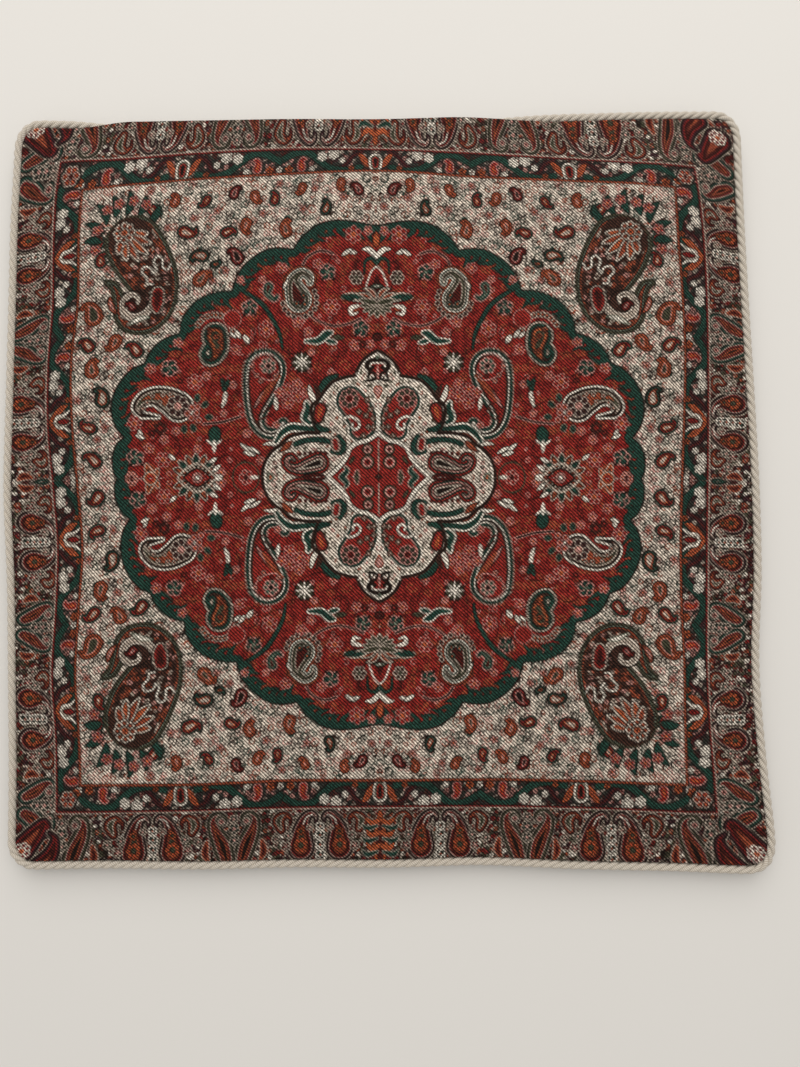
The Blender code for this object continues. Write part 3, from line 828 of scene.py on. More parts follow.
        for k, (x, y) in enumerate(((95, 58), (93, 55), (90.5, 57), (91, 52), (94, 51.5))):
            self.leaf((92.6, 53), (x + (k % 2) * 1.5, y + 1), 3.0, "INK -0.3, GREEN 0.2")
        self.blade(((92.6, 50, 1.0), (93.2, 46, 1.2), (94.6, 42, 0.5)), "INK -0.4, WHITE 0")

    def star(self) -> None:
        """Weaves the flower of eight dark petals parted by pale rays."""
        middle = (46, 68)
        for k in range(8):
            near, away = (polar(middle, radius, 22.5 + 45 * k) for radius in (1.6, 6.6))
            self.leaf(near, away, 3.6, "MAROON -0.2, INK 0.3, OLIVE 1")
        for k in range(8):
            self.leaf(middle, polar(middle, 6.0, 45 * k), 1.1, "WHITE 0")

    def palmettes(self) -> None:
        """Weaves the tall palmette above the centre and the broad one at its side."""
        self.leaf((0, 137), (0, 145), 4.4, "MAROON -0.4, ORANGE 0.4")
        self.blade(((0, 131, 1.4), (4.4, 135, 1.5), (8.4, 135.4, 0.5)), "INK -0.5, WHITE 0.1")
        self.blade(
            ((0, 127, 1.2), (3, 130, 1.2), (7, 128, 1.0), (7.6, 121, 0.6)), "INK -0.2, GREEN 0.4"
        )
        self.blade(
            ((9.8, 128.6, 0.6), (13, 126, 0.9), (10.5, 118, 0.7), (8.4, 111, 0.4)), "MAROON 0"
        )
        self.blade(
            ((0, 112.5, 5.8), (0, 119.5, 3.4), (0, 123.5, 0.8)), "WHITE -1.2, RED -0.2, MAROON 2.6"
        )
        self.leaf((-4.4, 113.4), (4.4, 113.4), 3.6, "INK 0, SAGE 0.8, WHITE 1.4")
        for start, end, bow in (
            ((1, 105), (8, 112), 0.2), ((2, 104), (13, 108.5), 0.12), ((3, 103), (17, 105), 0.1)
        ):
            self.leaf(start, end, 3.6, "INK -0.5, STONE 0.1, RUST 0.9", bow)
        self.blade(((10, 106, 1.4), (15, 107.5, 1.4), (20.4, 107, 0.9)), "STONE -0.9, GREEN 0")
        self.leaf((15, 105.5), (21.6, 107.5), 3.2, "INK -0.4, GREEN 0.2")
        for k in range(5):
            angle = math.radians(-88 + 24 * k)
            self.leaf(
                (0, 103), (10.5 * math.cos(angle), 104 + 9.0 * math.sin(angle)), 3.2,
                "STONE -0.4, OLIVE 0.2",
            )
        self.blade(
            ((12, 101.5, 1.0), (16, 100, 1.3), (15.4, 96.6, 0.9), (12, 97.4, 0.5)),
            "MAROON -0.5, WHITE 0",
        )
        self.rosette((12.5, 118.6), 4.0, 6, "STONE -0.5, BROWN 0.1", Yarn.OLIVE)
        self.disc((0.6, 83), 2.4, "INK -0.2, MAROON 0.7")
        self.side_palmette()

    def side_palmette(self) -> None:
        """Weaves the broad palmette at the side, and the small leaves about it."""
        middle = (111, 0)
        for k in range(7):
            angle = math.radians(20 + 23 * k)
            tip = (middle[0] + 14.5 * math.cos(angle), 1 + 13.0 * math.sin(angle))
            near = (middle[0] + 6.5 * math.cos(angle), 0.8 + 5.5 * math.sin(angle))
            inner = Yarn.GREEN if k % 2 else Yarn.RUST
            self.leaf(near, tip, 3.9, f"STONE -0.5, INK 0.1, {inner.name} 0.8")
        self.line(((99.5, 0.4), (105, 6), (111, 8.4), (118, 5), (122.5, 0.4)), 1.5, Yarn.STONE)
        self.line(((102.5, 0.4), (107, 4), (111, 5.4), (115, 3.6), (119, 0.4)), 1.2, Yarn.INK)
        self.disc((110.6, 0), 3.0, "INK -0.5, ROSE 0, MAROON 1, WHITE 1.8")
        for start, end in (
            ((101, 4), (96.4, 7.4)), ((100, 1), (95.4, 0.6)), ((124, 11), (127.6, 14)),
            ((103, 9), (98.6, 11.6)),
        ):
            self.leaf(start, end, 2.4, "INK -0.4, WHITE 0.1")
        self.blade(
            ((140.8, 8, 0.8), (139.6, 4, 1.9), (136, 2, 1.4), (134.6, 5, 0.7)),
            "STONE -0.6, ORANGE 0, BROWN 1",
        )
        self.disc((139, 0), 4.2, "STONE 0, ORANGE 0.8, RED 2")
        self.disc((81, 1), 8.4, "OLIVE 0, RED 1")
        self.rosette((81, 0.6), 4.0, 5, "ROSE -0.2, RED 0.4", Yarn.MAROON)
        self.leaf((78, 0), (73.4, 0), 2.4, "WHITE 0")
        self.rosette((150, 1), 3.4, 6, "ROSE -0.2, RUST 0.4", Yarn.MAROON)


@dataclass
class Centre(DesignPart):
    """The ivory ogee at the middle of the medallion."""

    TIP = ((0, 75), (4.5, 72.6), (9, 69), (12, 64.5), (13.6, 60))
    SHOULDER = (
        (13.6, 60), (20, 59), (27, 56.5), (32, 51.5), (35.6, 46.5), (40, 42.5), (40.6, 36.5),
        (38.6, 30.5), (36, 26),
    )
    SIDE = (
        (36, 26), (45, 26.2), (54, 24), (59, 19.6), (63.5, 16.6), (68, 11.5), (70.4, 5.5), (71, 0)
    )

    def weave(self) -> None:
        """Weaves the ogee from its ground up."""
        self.arms()
        parts = (self.TIP, self.SHOULDER, self.SIDE)
        rim = [tuple(p) for part in parts for p in smooth_line(part)]
        mask = self.loom.inside([*rim, (0, 0)])
        self.loom.cells[mask] = int(Yarn.IVORY)
        shares = {Yarn.OLIVE: 0.35, Yarn.RUST: 0.2, Yarn.BROWN: 0.2, Yarn.ROSE: 0.25}
        self.loom.curls(mask, 3.6, (0.7, 1.7), shares)
        for part in parts:
            self.line(part, 3.8, Yarn.WHITE, mask)
            self.line(part, 2.2, Yarn.BROWN)
            self.line(part, 1.0, Yarn.INK)
        self.top()
        self.side_lobe()
        self.heart()
        self.lozenge()

    def arms(self) -> None:
        """Weaves the green leafy arms round the ogee."""
        green = "INK -1.5, WHITE -1, GREEN 0"
        self.blade(
            ((38, 28.4, 1.6), (46, 29, 1.6), (53, 29.4, 1.8), (59, 26, 1.5), (63, 20, 0.8)), green
        )
        self.blade(((41.4, 32, 1.0), (44.4, 35, 1.8), (42.6, 40.4, 1.8), (43.4, 44, 0.8)), green)
        self.blade(((38, 44, 1.0), (40.6, 49, 1.4), (41.8, 54, 0.4)), "INK -0.7, WHITE -0.1")
        self.blade(((36, 50, 1.2), (31, 56.4, 2.2), (25, 60, 0.8)), "INK -0.8, GREEN -0.1")
        self.leaf((62, 19), (70, 19.4), 2.2, "INK -0.4, WHITE 0.1", 0.1)
        self.leaf((36, 46), (39, 54.6), 3.4, "BROWN 0", 0.1)

    def top(self) -> None:
        """Weaves the paired volutes in the ogee's tip."""
        self.blade(((0, 63.5, 6.2), (0, 67, 4.2)), "WHITE -1.2, BROWN -0.2, RED 0.8")
        self.line(((0, 69), (4, 69), (6.8, 66.4), (5.2, 63.6), (3, 65)), 2.6, Yarn.INK)
        self.line(((0.4, 67.5), (3.8, 67.2), (4.6, 65.4)), 1.0, Yarn.WHITE)
        self.line(((6, 59), (4.4, 62), (1.4, 60.4), (2.6, 57.6), (6.2, 57)), 1.8, Yarn.INK)
        self.line(((4.8, 59.4), (3.4, 60.4), (2.6, 59)), 0.8, Yarn.WHITE)
        self.leaf((0, 58), (0, 66), 1.6, "ROSE 0")
        self.disc((0, 71), 1.2, "SAGE 0")
        self.blade(((0, 51.5, 3.2), (0, 47, 1.2)), "WHITE -0.6, RUST 0.2, ROSE 1.2")

    def side_lobe(self) -> None:
        """Weaves the lobe at the side and its red boteh."""
        for path, width in (
            (((28, 20.6), (36, 22.2), (45, 21.6), (50.5, 19.6)), 2.6),
            (((28, 15.4), (23, 14.6), (21, 19), (24, 24)), 2.6),
        ):
            self.line(path, width + 1.0, Yarn.INK)
            self.line(path, width, Yarn.GREEN)
        self.blade(((26.4, 21.4, 1.8), (25.8, 17.4, 1.9)), "INK -1.2, STONE -0.6, RED 0.2")
        self.leaf((53, 21), (59.6, 15.4), 3.6, "BROWN -0.3, RUST 0.3")
        self.blade(
            (
                (36.5, 8.6, 4.4), (43, 6.6, 3.6), (49, 5.0, 2.4), (54.5, 6.4, 1.4), (56, 10, 1.2),
                (53.4, 11.8, 0.8), (51.4, 10, 0.5),
            ),
            "BROWN -2.6, RED -1.7, INK -0.9, GREEN -0.4, ROSE 0.3, BROWN 0.9, STONE 1.9, INK 2.8",
        )
        for k in range(6):
            self.disc((32 + 3.2 * k, 15.0 - 0.5 * abs(k - 2)), 1.2, "MAROON 0")
        self.rosette((66, 0.5), 2.6, 6, "SAGE 0, STONE 0.6", Yarn.ORANGE)
        self.blade(((45, 0, 1.4), (38, 0, 2.2), (32, 0, 0.5)), "INK -0.4, MAROON 0.3")
        self.blade(
            ((35, 40.5, 3.0), (36, 37, 2.6), (36.4, 34, 1.6)),
            "INK -1.2, BROWN -0.6, RED 0.1, ORANGE 1.6",
        )
        self.blade(((37.4, 31, 0.8), (35, 28.6, 1.6), (30.6, 28, 1.0)), "INK -0.5, GREEN 0.1")

    def heart(self) -> None:
        """Weaves the two botehs that meet as a heart above the lozenge."""
        self.blade(
            ((16.6, 45, 8.2), (11.5, 38, 8.6), (9.2, 31, 7.4), (12, 27.4, 5.0)),
            "WHITE -1.6, INK -0.8, GREEN -0.3, ROSE 1, RED 1.6",
        )
        self.blade(((0, 42.5, 0.6), (0, 34, 1.2), (0, 26, 0.6)), "WHITE 0")
        hook = (
            (20.8, 34.6), (17.2, 35.8), (12.6, 33.6), (11.4, 30.4), (13.6, 28.2), (16, 29.4),
            (15.6, 31.4)
        )
        for width, yarn in ((2.2, Yarn.INK), (1.4, Yarn.WHITE)):
            self.line(hook, width, yarn)
        self.rosette((17.4, 46.4), 5.8, 8, "ROSE -0.4, INK 0.1, OLIVE 0.8", Yarn.MAROON)
        for place in (
            (6.6, 45.6), (4.6, 40), (3.2, 34.6), (7.4, 36.4), (11.6, 38.6), (6, 29.6), (3, 29.4),
            (9, 24.4),
        ):
            self.rosette(place, 1.9, 4, "BROWN -0.4, OLIVE 0, ROSE 0.5", Yarn.STONE, place[0] * 31)

    def lozenge(self) -> None:
        """Weaves the red lozenge at the very middle."""
        rim = (
            (31, 0), (27, 3.4), (22.6, 7.6), (19.6, 12), (17, 17.4), (12, 20.4), (6, 22), (0, 26)
        )
        path = smooth_line(rim)
        mask = self.loom.inside([tuple(p) for p in path] + [(0, 0)])
        self.loom.cells[mask] = int(Yarn.RED)
        self.line(rim, 3.4, Yarn.INK)
        self.line(rim, 2.2, Yarn.WHITE)
        for place, size in (((6.6, 16.4), 3.6), ((6.8, 8.8), 4.4)):
            self.disc(place, size, "INK 0, OLIVE 0.5, ROSE 1.3, RED 2.4")
            self.disc(place, 1.2, "MAROON 0")
        self.line(((0, 22), (0, 4)), 0.9, Yarn.STONE)
        self.blade(((22.6, 0, 1.6), (19.4, 3.6, 1.3), (20.4, 6, 0.5)), "STONE -0.5, GREEN 0.1")
        self.blade(((13.5, 0, 1.5), (13.2, 3.4, 0.7)), "ROSE -0.6, OLIVE 0")
        self.leaf((14.6, 12.4), (18, 7.6), 2.4, "MAROON -0.3, OLIVE 0.3")
        self.rosette((0, 0), 2.6, 4, "MAROON 0", Yarn.INK)


@dataclass
class Borders(DesignPart):
    """The narrow dark border, the wide pale one outside it, and the lines between them."""

    inner: float = 181.5
    outer: float = 197.0

    def weave(self) -> None:
        """Weaves both borders on the side and along the end, then the corner."""
        loom = self.loom
        rows, cols = (np.arange(n) / loom.per_mm for n in loom.cells.shape)
        far = np.maximum(cols[None, :], rows[:, None])
        dark = (far > self.inner) & (far <= self.outer)
        pale = far > self.outer
        loom.cells[dark] = int(Yarn.CHARCOAL)
        loom.cells[pale] = int(Yarn.STONE)
        loom.curls(
            dark, 3.0, (0.8, 1.8),
            {Yarn.PLUM: 0.32, Yarn.STONE: 0.24, Yarn.MAROON: 0.28, Yarn.ROSE: 0.16},
        )
        self.outer_ground(pale)
        for upright in (False, True):
            self.inner_motifs(upright)
            self.outer_motifs(upright)
        self.corner()
        self.lines()

    def outer_ground(self, pale: np.ndarray) -> None:
        """Weaves the dark flowers that crowd the pale ground of the outer border."""
        dark = {Yarn.INK: 0.3, Yarn.PLUM: 0.25, Yarn.MAROON: 0.2, Yarn.OLIVE: 0.25}
        self.loom.curls(pale, 2.0, (0.7, 1.7), dark, 5)
        self.loom.curls(
            pale, 4.2, (0.7, 1.5), {Yarn.WHITE: 0.3, Yarn.RUST: 0.35, Yarn.CRIMSON: 0.35}, 3
        )

    def lines(self) -> None:
        """Weaves the thin lines that part the borders from each other and from the ground."""
        for half, width, yarn in (
            (self.inner - 0.2, 0.6, Yarn.INK), (self.inner + 0.5, 0.9, Yarn.RUST),
            (self.inner + 1.3, 0.7, Yarn.INK), (self.outer - 0.9, 0.7, Yarn.INK),
            (self.outer - 0.2, 0.9, Yarn.CRIMSON), (self.outer + 0.6, 0.6, Yarn.STONE),
        ):
            low, high = (int(x * self.loom.per_mm) for x in (half - width / 2, half + width / 2))
            self.loom.cells[low:high, :high] = int(yarn)
            self.loom.cells[:high, low:high] = int(yarn)

    def placed(self, upright: bool, narrow: float = 1.0) -> Callable[[Spine], Spine]:
        """How a border's own (run, rise, radius) turns into the design's places.

        Args:
            upright: Whether the border runs up the side instead of along the end.
            narrow: How much of its full depth the outer border has there.

        Returns:
            A function that moves a spine.
        """

        def move(spine: Spine) -> Spine:
            """Moves one spine."""
            moved = [(run, self.outer + rise * narrow, r) for run, rise, r in spine]
            return [(b, a, r) for a, b, r in moved] if upright else moved

        return move

    def flower(
        self, move: Callable[[Spine], Spine], place: Point, radius: float, petals: int,
        coats: Coats, heart: Yarn, turn: float = 0.0,
    ) -> None:
        """Weaves a rosette at one of the border's own places."""
        (a, b, _), = move(((*place, 0),))
        self.rosette((a, b), radius, petals, coats, heart, turn)

    def inner_motifs(self, upright: bool) -> None:
        """Weaves the waving stem, the pomegranates and the flowers of the inner border.

        Args:
            upright: Whether the border runs up the side.
        """
        move = self.placed(upright)
        half = 51.75 if upright else 61.0
        first = 36.0 if upright else 0.0
        for x in (first, first + 2 * half):
            for side in (-1, 1):
                self.arch(move, x, half * side)
        for x in (first, first + 2 * half):
            (self.lily if upright else self.pomegranate)(move, x)

    def arch(self, move: Callable[[Spine], Spine], start: float, half: float) -> None:
        """Weaves what stands between a pomegranate and the middle of the next arch.

        Args:
            move: Turns the border's own places into the design's.
            start: Where the pomegranate stands.
            half: How far the arch's middle is from it, negative backwards.
        """
        band = self.dark_band()
        turn = math.copysign(1, half)

        def stem(points: Sequence[Point], radius: float) -> Spine:
            """A line of one width, through (share of the arch, rise) points."""
            return move([(start + half * share, rise, radius) for share, rise in points])

        scroll = ((0.14, -2.0), (0.24, -5.2), (0.3, -10), (0.4, -13.4), (0.52, -12), (0.5, -8.6))
        self.blade(stem(scroll, 1.3), "INK -0.5, PLUM 0, MAROON 0.8", band)
        wave = (
            (0.16, -12.5), (0.3, -14.4), (0.46, -12.8), (0.58, -8.0), (0.68, -3.4), (0.8, -2.4),
            (0.9, -4.4), (1.0, -7.6),
        )
        self.blade(stem(wave, 1.9), "INK -0.5, GREEN 0", band)
        for share, rise, size in (
            (0.44, -3.6, 3.6), (0.56, -5.0, 3.2), (0.35, -7.8, 2.0), (0.66, -12.6, 1.8)
        ):
            self.flower(
                move, (start + half * share, rise), size, 6, "INK -0.4, WHITE 0, PLUM 0.8",
                Yarn.WHITE, 60 * share,
            )
        petal = ((0, -11.6, 2.2), (0.4, -8.6, 1.7), (-0.8, -6.4, 1.0), (-2.4, -6.6, 0.5))
        self.blade(
            move(sided(start + half * 0.77, turn, petal)), "INK -1.1, ROSE -0.6, RED 0, ORANGE 1.3"
        )
        for share, rise, size, yarn in (
            (0.9, -12.6, 2.5, "ORANGE"), (0.67, -9.4, 1.7, "ROSE"), (1.0, -12.4, 2.0, "WHITE"),
            (0.25, -13, 1.8, "ORANGE"),
        ):
            self.flower(
                move, (start + half * share, rise), size, 5, f"INK -0.4, {yarn} 0.1", Yarn.MAROON,
                90,
            )

    def dark_band(self) -> np.ndarray:
        """The cells of the inner border."""
        rows, cols = (np.arange(n) / self.loom.per_mm for n in self.loom.cells.shape)
        far = np.maximum(cols[None, :], rows[:, None])
        return (far > self.inner + 1.2) & (far <= self.outer - 1.2)

    def pomegranate(self, move: Callable[[Spine], Spine], x: float) -> None:
        """Weaves one pale-ringed pomegranate with orange leaves on both sides."""
        for side in (-1, 1):
            leaf = ((1.5, -13.6, 0.8), (5.6, -10, 1.7), (8.6, -5.6, 1.5), (10.5, -3.8, 0.4))
            self.blade(move(sided(x, side, leaf)), "INK -0.5, ORANGE 0, RUST 0.9")
        ring = ((x, -11.5, 3.9), (x, -7.6, 4.3))
        self.blade(move(ring), "INK -0.5, WHITE 0, INK 1, SAGE 1.4, RED 2, INK 3")

    def lily(self, move: Callable[[Spine], Spine], x: float) -> None:
        """Weaves one pale flower that opens inwards, over two crossed orange leaves."""
        for side in (-1, 1):
            leaf = ((0, -1.6, 0.7), (4.0, -5.0, 1.6), (8.0, -9.0, 1.6), (9.6, -12.4, 0.4))
            self.blade(move(sided(x, side, leaf)), "INK -0.5, ORANGE 0, RUST 0.9")
            petal = ((0, -4.4, 0.5), (3.2, -6.4, 0.75), (4.0, -10.6, 0.7), (6.6, -13.8, 0.4))
            self.blade(move(sided(x, side, petal)), "INK -0.5, WHITE 0")
        self.blade(
            move(((x, -7.0, 1.2), (x, -10.4, 2.0), (x, -13.4, 0.6))),
            "STONE -0.8, INK -0.2, CRIMSON 0.5",
        )

    def outer_motifs(self, upright: bool) -> None:
        """Weaves the facing pairs of botehs along the outer border.

        Args:
            upright: Whether the border runs up the side.
        """
        narrow = 0.56 if upright else 1.0
        move = self.placed(upright, narrow)
        thin = 0.86 if upright else 1.0
        for middle in (37.0, 140.0 if not upright else 144.0):
            self.head_pair(move, middle, thin)
        for middle in (90.0 if not upright else 89.0, -14.0, 193.0):
            self.curl_pair(move, middle, thin, upright)
        if not upright:
            self.end_centre(move)

    def head_pair(self, move: Callable[[Spine], Spine], middle: float, thin: float) -> None:
        """Weaves two round-headed botehs that turn their tails to each other.

        Args:
            move: Turns the border's own places into the design's.
            middle: Where they meet.
            thin: How thin they are.
        """
        coats = (
            "STONE -0.9, INK -0.5, PLUM 0.5, STONE 1.2, CRIMSON 1.5, INK 2.4, MAROON 3, RUST 4, "
            "OLIVE 5"
        )
        for side in (-1, 1):
            hook = (
                (24, 13.5, 2.8), (25.5, 8, 3.8), (22, 4.4, 2.4),
                (18.4, 6.6, 1.4), (18.4, 10.4, 0.9),
            )
            hook_coats = "STONE -0.8, INK -0.4, MAROON 0.1, RUST 1.1, INK 1.7, STONE 2.1, OLIVE 2.6"
            self.blade(move(sided(middle, side, hook, thin)), hook_coats)
            body = (
                (12, 24.5, 8.2), (11.2, 14.5, 5.6), (9.4, 7.4, 3.6),
                (5.6, 3.6, 2.4), (2.6, 5.6, 1.7), (2.6, 9.2, 1.0),
            )
            self.blade(move(sided(middle, side, body, thin)), coats)
            for rise, size in ((23.5, 4.6), (15.0, 2.6)):
                self.flower(
                    move, (middle + side * 12, rise), size * thin, 7,
                    "INK -0.3, ORANGE 0.2, RED 0.9", Yarn.OLIVE,
                )
            seam = ((10.4, 10.6, 0.3), (8.4, 6.2, 0.4), (4.6, 4.2, 0.35))
            self.blade(move(sided(middle, side, seam)), "WHITE 0")
        for side in (-1, 1):
            for run, rise, size, yarn in (
                (19.6, 17.5, 2.3, "GREEN"), (21.4, 24.0, 2.6, "CRIMSON"),
                (27.6, 19.5, 2.2, "OLIVE"), (6.2, 12.5, 1.8, "ORANGE"),
            ):
                self.flower(
                    move, (middle + side * run, rise), size, 5, f"STONE -0.6, INK -0.1, {yarn} 0.5",
                    Yarn.ROSE, 90,
                )
        for rise, size in ((12.0, 2.2), (17.5, 2.6), (23.5, 2.4), (29.5, 2.6)):
            self.flower(
                move, (middle, rise), size, 4, "WHITE -0.8, INK -0.2, GREEN 0.6", Yarn.RUST, 45
            )

    def curl_pair(
        self, move: Callable[[Spine], Spine], middle: float, thin: float, upright: bool
    ) -> None:
        """Weaves two long botehs whose curled tips face each other.

        Args:
            move: Turns the border's own places into the design's.
            middle: Where they meet.
            thin: How thin they are.
            upright: Whether the border runs up the side.
        """
        second = "GREEN" if upright else "OLIVE"
        coats = (
            f"STONE -0.8, INK -0.5, {second} 0.3, INK 1.2, STONE 1.5, "
            "CRIMSON 1.9, BROWN 2.8, RUST 3.4, INK 4.2"
        )
        for side in (-1, 1):
            body = (
                (4.8, 30, 5.0), (7.4, 22, 5.6), (11.4, 13, 4.4),
                (12.6, 6.4, 3.0), (9.4, 3.0, 2.0), (5.8, 5.0, 1.6),
                (6.4, 8.4, 1.2),
            )
            self.blade(move(sided(middle, side, body, thin)), coats)
            (a, b, _), = move(((middle + side * 7.6, 7.2, 0),))
            self.disc((a, b), 2.4, "INK -0.4, STONE 0, INK 0.6, ROSE 1, MAROON 1.6")
            leaf = ((17, 20, 1.2), (18, 26, 2.2), (16, 31, 1.0))
            self.blade(move(sided(middle, side, leaf)), "STONE -0.5, RUST 0, MAROON 1.2")
        for rise, size in ((6.0, 2.4), (12.0, 3.2), (19.0, 2.8)):
            self.flower(
                move, (middle, rise), size, 5, "STONE -0.6, INK -0.1, GREEN 0.7", Yarn.ROSE, 90
            )

    def end_centre(self, move: Callable[[Spine], Spine]) -> None:
        """Weaves the orange cross in the middle of each end."""
        self.blade(
            move(((0, 3, 1.0), (0, 12, 2.6), (0, 24, 4.6), (0, 33, 3.0))),
            "INK -0.6, ORANGE 0, MAROON 1.6",
        )
        for rise in (8, 16, 24):
            self.blade(
                move(((0, rise, 1.2), (5, rise + 2, 1.6), (8.6, rise - 1, 0.5))),
                "INK -0.4, ORANGE 0",
            )
            self.blade(
                move(((2, rise + 4, 0.8), (8, rise + 5.6, 1.4), (11, rise + 3, 0.5))),
                "STONE -0.3, GREEN 0.1",
            )

    def corner(self) -> None:
        """Weaves the square where the inner borders meet and the corner of the outer one."""
        place = (189.6, 189.6)
        self.disc(place, 6.0, "INK 0, CHARCOAL 0.8")
        self.rosette(place, 4.6, 6, "STONE -0.4, CRIMSON 0.1, ORANGE 0.9", Yarn.MAROON)
        coats = "STONE -0.8, INK -0.5, PLUM 0.5, CRIMSON 1.4, INK 2.4, MAROON 3, RUST 4.2"
        self.blade(
            ((213, 216, 6.5), (207, 208, 5.0), (203, 203, 3.0), (201, 208, 1.6), (204, 211, 0.9)),
            coats,
        )
        self.blade(((205, 226, 5.0), (199, 220, 4.4), (197, 212, 2.4), (200, 208, 1.2)), coats)
        self.rosette((213, 217), 4.2, 7, "WHITE -0.2, CRIMSON 0.4", Yarn.ORANGE)


def woven_design() -> np.ndarray:
    """The whole quarter of the design, as colours in linear light."""
    loom = Loom()
    for part in (Field, CornerBoteh, Medallion, Centre, Borders):
        part(loom).weave()
    return loom.colours()


# ---------------------------------------------------------------------------------------------
# Shapes
# ---------------------------------------------------------------------------------------------


def smooth_step(share: np.ndarray) -> np.ndarray:
    """A soft rise from 0 to 1 as the share does."""
    return 0.5 - 0.5 * np.cos(math.pi * np.clip(share, 0, 1))


def quarter_wave(share: np.ndarray) -> np.ndarray:
    """A rise from 0 to 1 that starts steep and ends level."""
    return np.sin(math.pi / 2 * np.clip(share, 0, 1))


@dataclass(frozen=True)
class SideBow:
    """How far a line along one side stands out from where it would run, at even steps along it."""

    offsets: tuple[float, ...]

    def at(self, share: np.ndarray) -> np.ndarray:
        """The distance at a place along the side, which runs from -1 to 1.

        Args:
            share: Places along the side, from -1 to 1.

        Returns:
            The distance at each, in millimetres.
        """
        held = np.array(self.offsets)
        last = len(held) - 1
        place = np.clip((share + 1) / 2 * last, 0, last)
        i = np.minimum(place.astype(int), last - 1)
        t = place - i
        p0, p1, p2, p3 = (held[np.clip(i + k, 0, last)] for k in (-1, 0, 1, 2))
        curve = (2 * p0 - 5 * p1 + 4 * p2 - p3) * t**2 + (3 * p1 - p0 - 3 * p2 + p3) * t**3
        return 0.5 * (2 * p1 + (p2 - p0) * t + curve)


@dataclass(frozen=True)
class CoverForm:
    """The layers of the cushion as heights over the distance in from the seam, in millimetres."""

    half: float = 219.3
    top: float = 32.0
    face_edge: float = 12.3
    back_edge: float = 7.7
    corner: float = 11.0
    growth: float = 0.55
    cloth: float = 0.7
    seam: float = 10.0
    bow_reach: float = 20.0
    left: SideBow = SideBow((-1.2, -1.2, -0.1, 1.2, 3.9, 3.3, 2.4, 1.6, -0.6))
    right: SideBow = SideBow((2.5, -1.5, -3.5, 0.0, 0.7, -0.2, -1.4, -2.3, -2.5))
    far: SideBow = SideBow((4.8, 2.9, 2.7, 2.6, 1.5, 2.1, 2.5, 3.0, 2.4))
    near: SideBow = SideBow((-0.8, -0.9, 0.3, -0.2, 0.6, -0.2, 2.7, 4.5, 7.0))

    def face(self, inset: np.ndarray) -> np.ndarray:
        """The height of the face cloth's outside."""
        reach = np.clip(inset / self.half, 0, 1)
        rise = 0.86 * quarter_wave(inset / 70) + 0.14 * reach * (2 - reach)
        return self.face_edge + (self.top - self.face_edge) * rise

    def back(self, inset: np.ndarray) -> np.ndarray:
        """The height of the back cloth's outside."""
        return self.back_edge * (1 - smooth_step(inset / 60))

    def pad_face(self, inset: np.ndarray) -> np.ndarray:
        """The height of the pad case's upper side."""
        start = 13.65
        return start + (self.face(inset) - 1.3 - start) * quarter_wave((inset - 12) / 30)

    def pad_back(self, inset: np.ndarray) -> np.ndarray:
        """The height of the pad case's lower side."""
        start = 12.35
        return start + (self.back(inset) + 1.3 - start) * smooth_step((inset - 12) / 45)

    def inset(self, x: np.ndarray, y: np.ndarray) -> np.ndarray:
        """How far inside the seam a place on the squared plan lies."""
        return self.half - np.maximum(np.abs(x), np.abs(y))

    def plan(self, x: np.ndarray, y: np.ndarray) -> tuple[np.ndarray, np.ndarray]:
        """Rounds and bows the squared plan.

        Args:
            x: Places across, on square contours.
            y: Places along.

        Returns:
            The places on the real plan.
        """
        ax, ay = np.abs(x), np.abs(y)
        c, s = np.maximum(ax, ay), np.minimum(ax, ay)
        inset = self.half - c
        radius = np.minimum(self.corner + self.growth * np.maximum(inset, 0), 0.9 * c)
        radius = np.where(inset < 0, self.corner - inset, radius)
        radius = np.maximum(radius, 1e-6)
        turn = np.clip((s - c + radius) / radius, 0, 1) * math.pi / 4
        far = c - radius + radius * np.cos(turn)
        near = np.where(turn > 0, c - radius + radius * np.sin(turn), s)
        px = np.sign(x) * np.where(ax >= ay, far, near)
        py = np.sign(y) * np.where(ax >= ay, near, far)
        return self.bowed(px, py)

    def bowed(self, px: np.ndarray, py: np.ndarray) -> tuple[np.ndarray, np.ndarray]:
        """Moves the edges out or in, most at the seam and not at all 20 mm inside it.

        Args:
            px: Places across, in millimetres.
            py: Places along.

        Returns:
            The moved places.
        """
        reach, half = self.bow_reach, self.half
        shares = np.clip(px / half, -1, 1), np.clip(py / half, -1, 1)
        dx = smooth_step(1 - (half - px) / reach) * self.right.at(shares[1])
        dx = dx - smooth_step(1 - (half + px) / reach) * self.left.at(shares[1])
        dy = smooth_step(1 - (half - py) / reach) * self.far.at(shares[0])
        dy = dy - smooth_step(1 - (half + py) / reach) * self.near.at(shares[0])
        return px + dx, py + dy

    def tucked(self, x: np.ndarray) -> np.ndarray:
        """How far the cord has slipped beneath the face along the far side, from 0 to 1."""
        return smooth_step((x + 190) / 40) * (1 - smooth_step((x - 40) / 75))


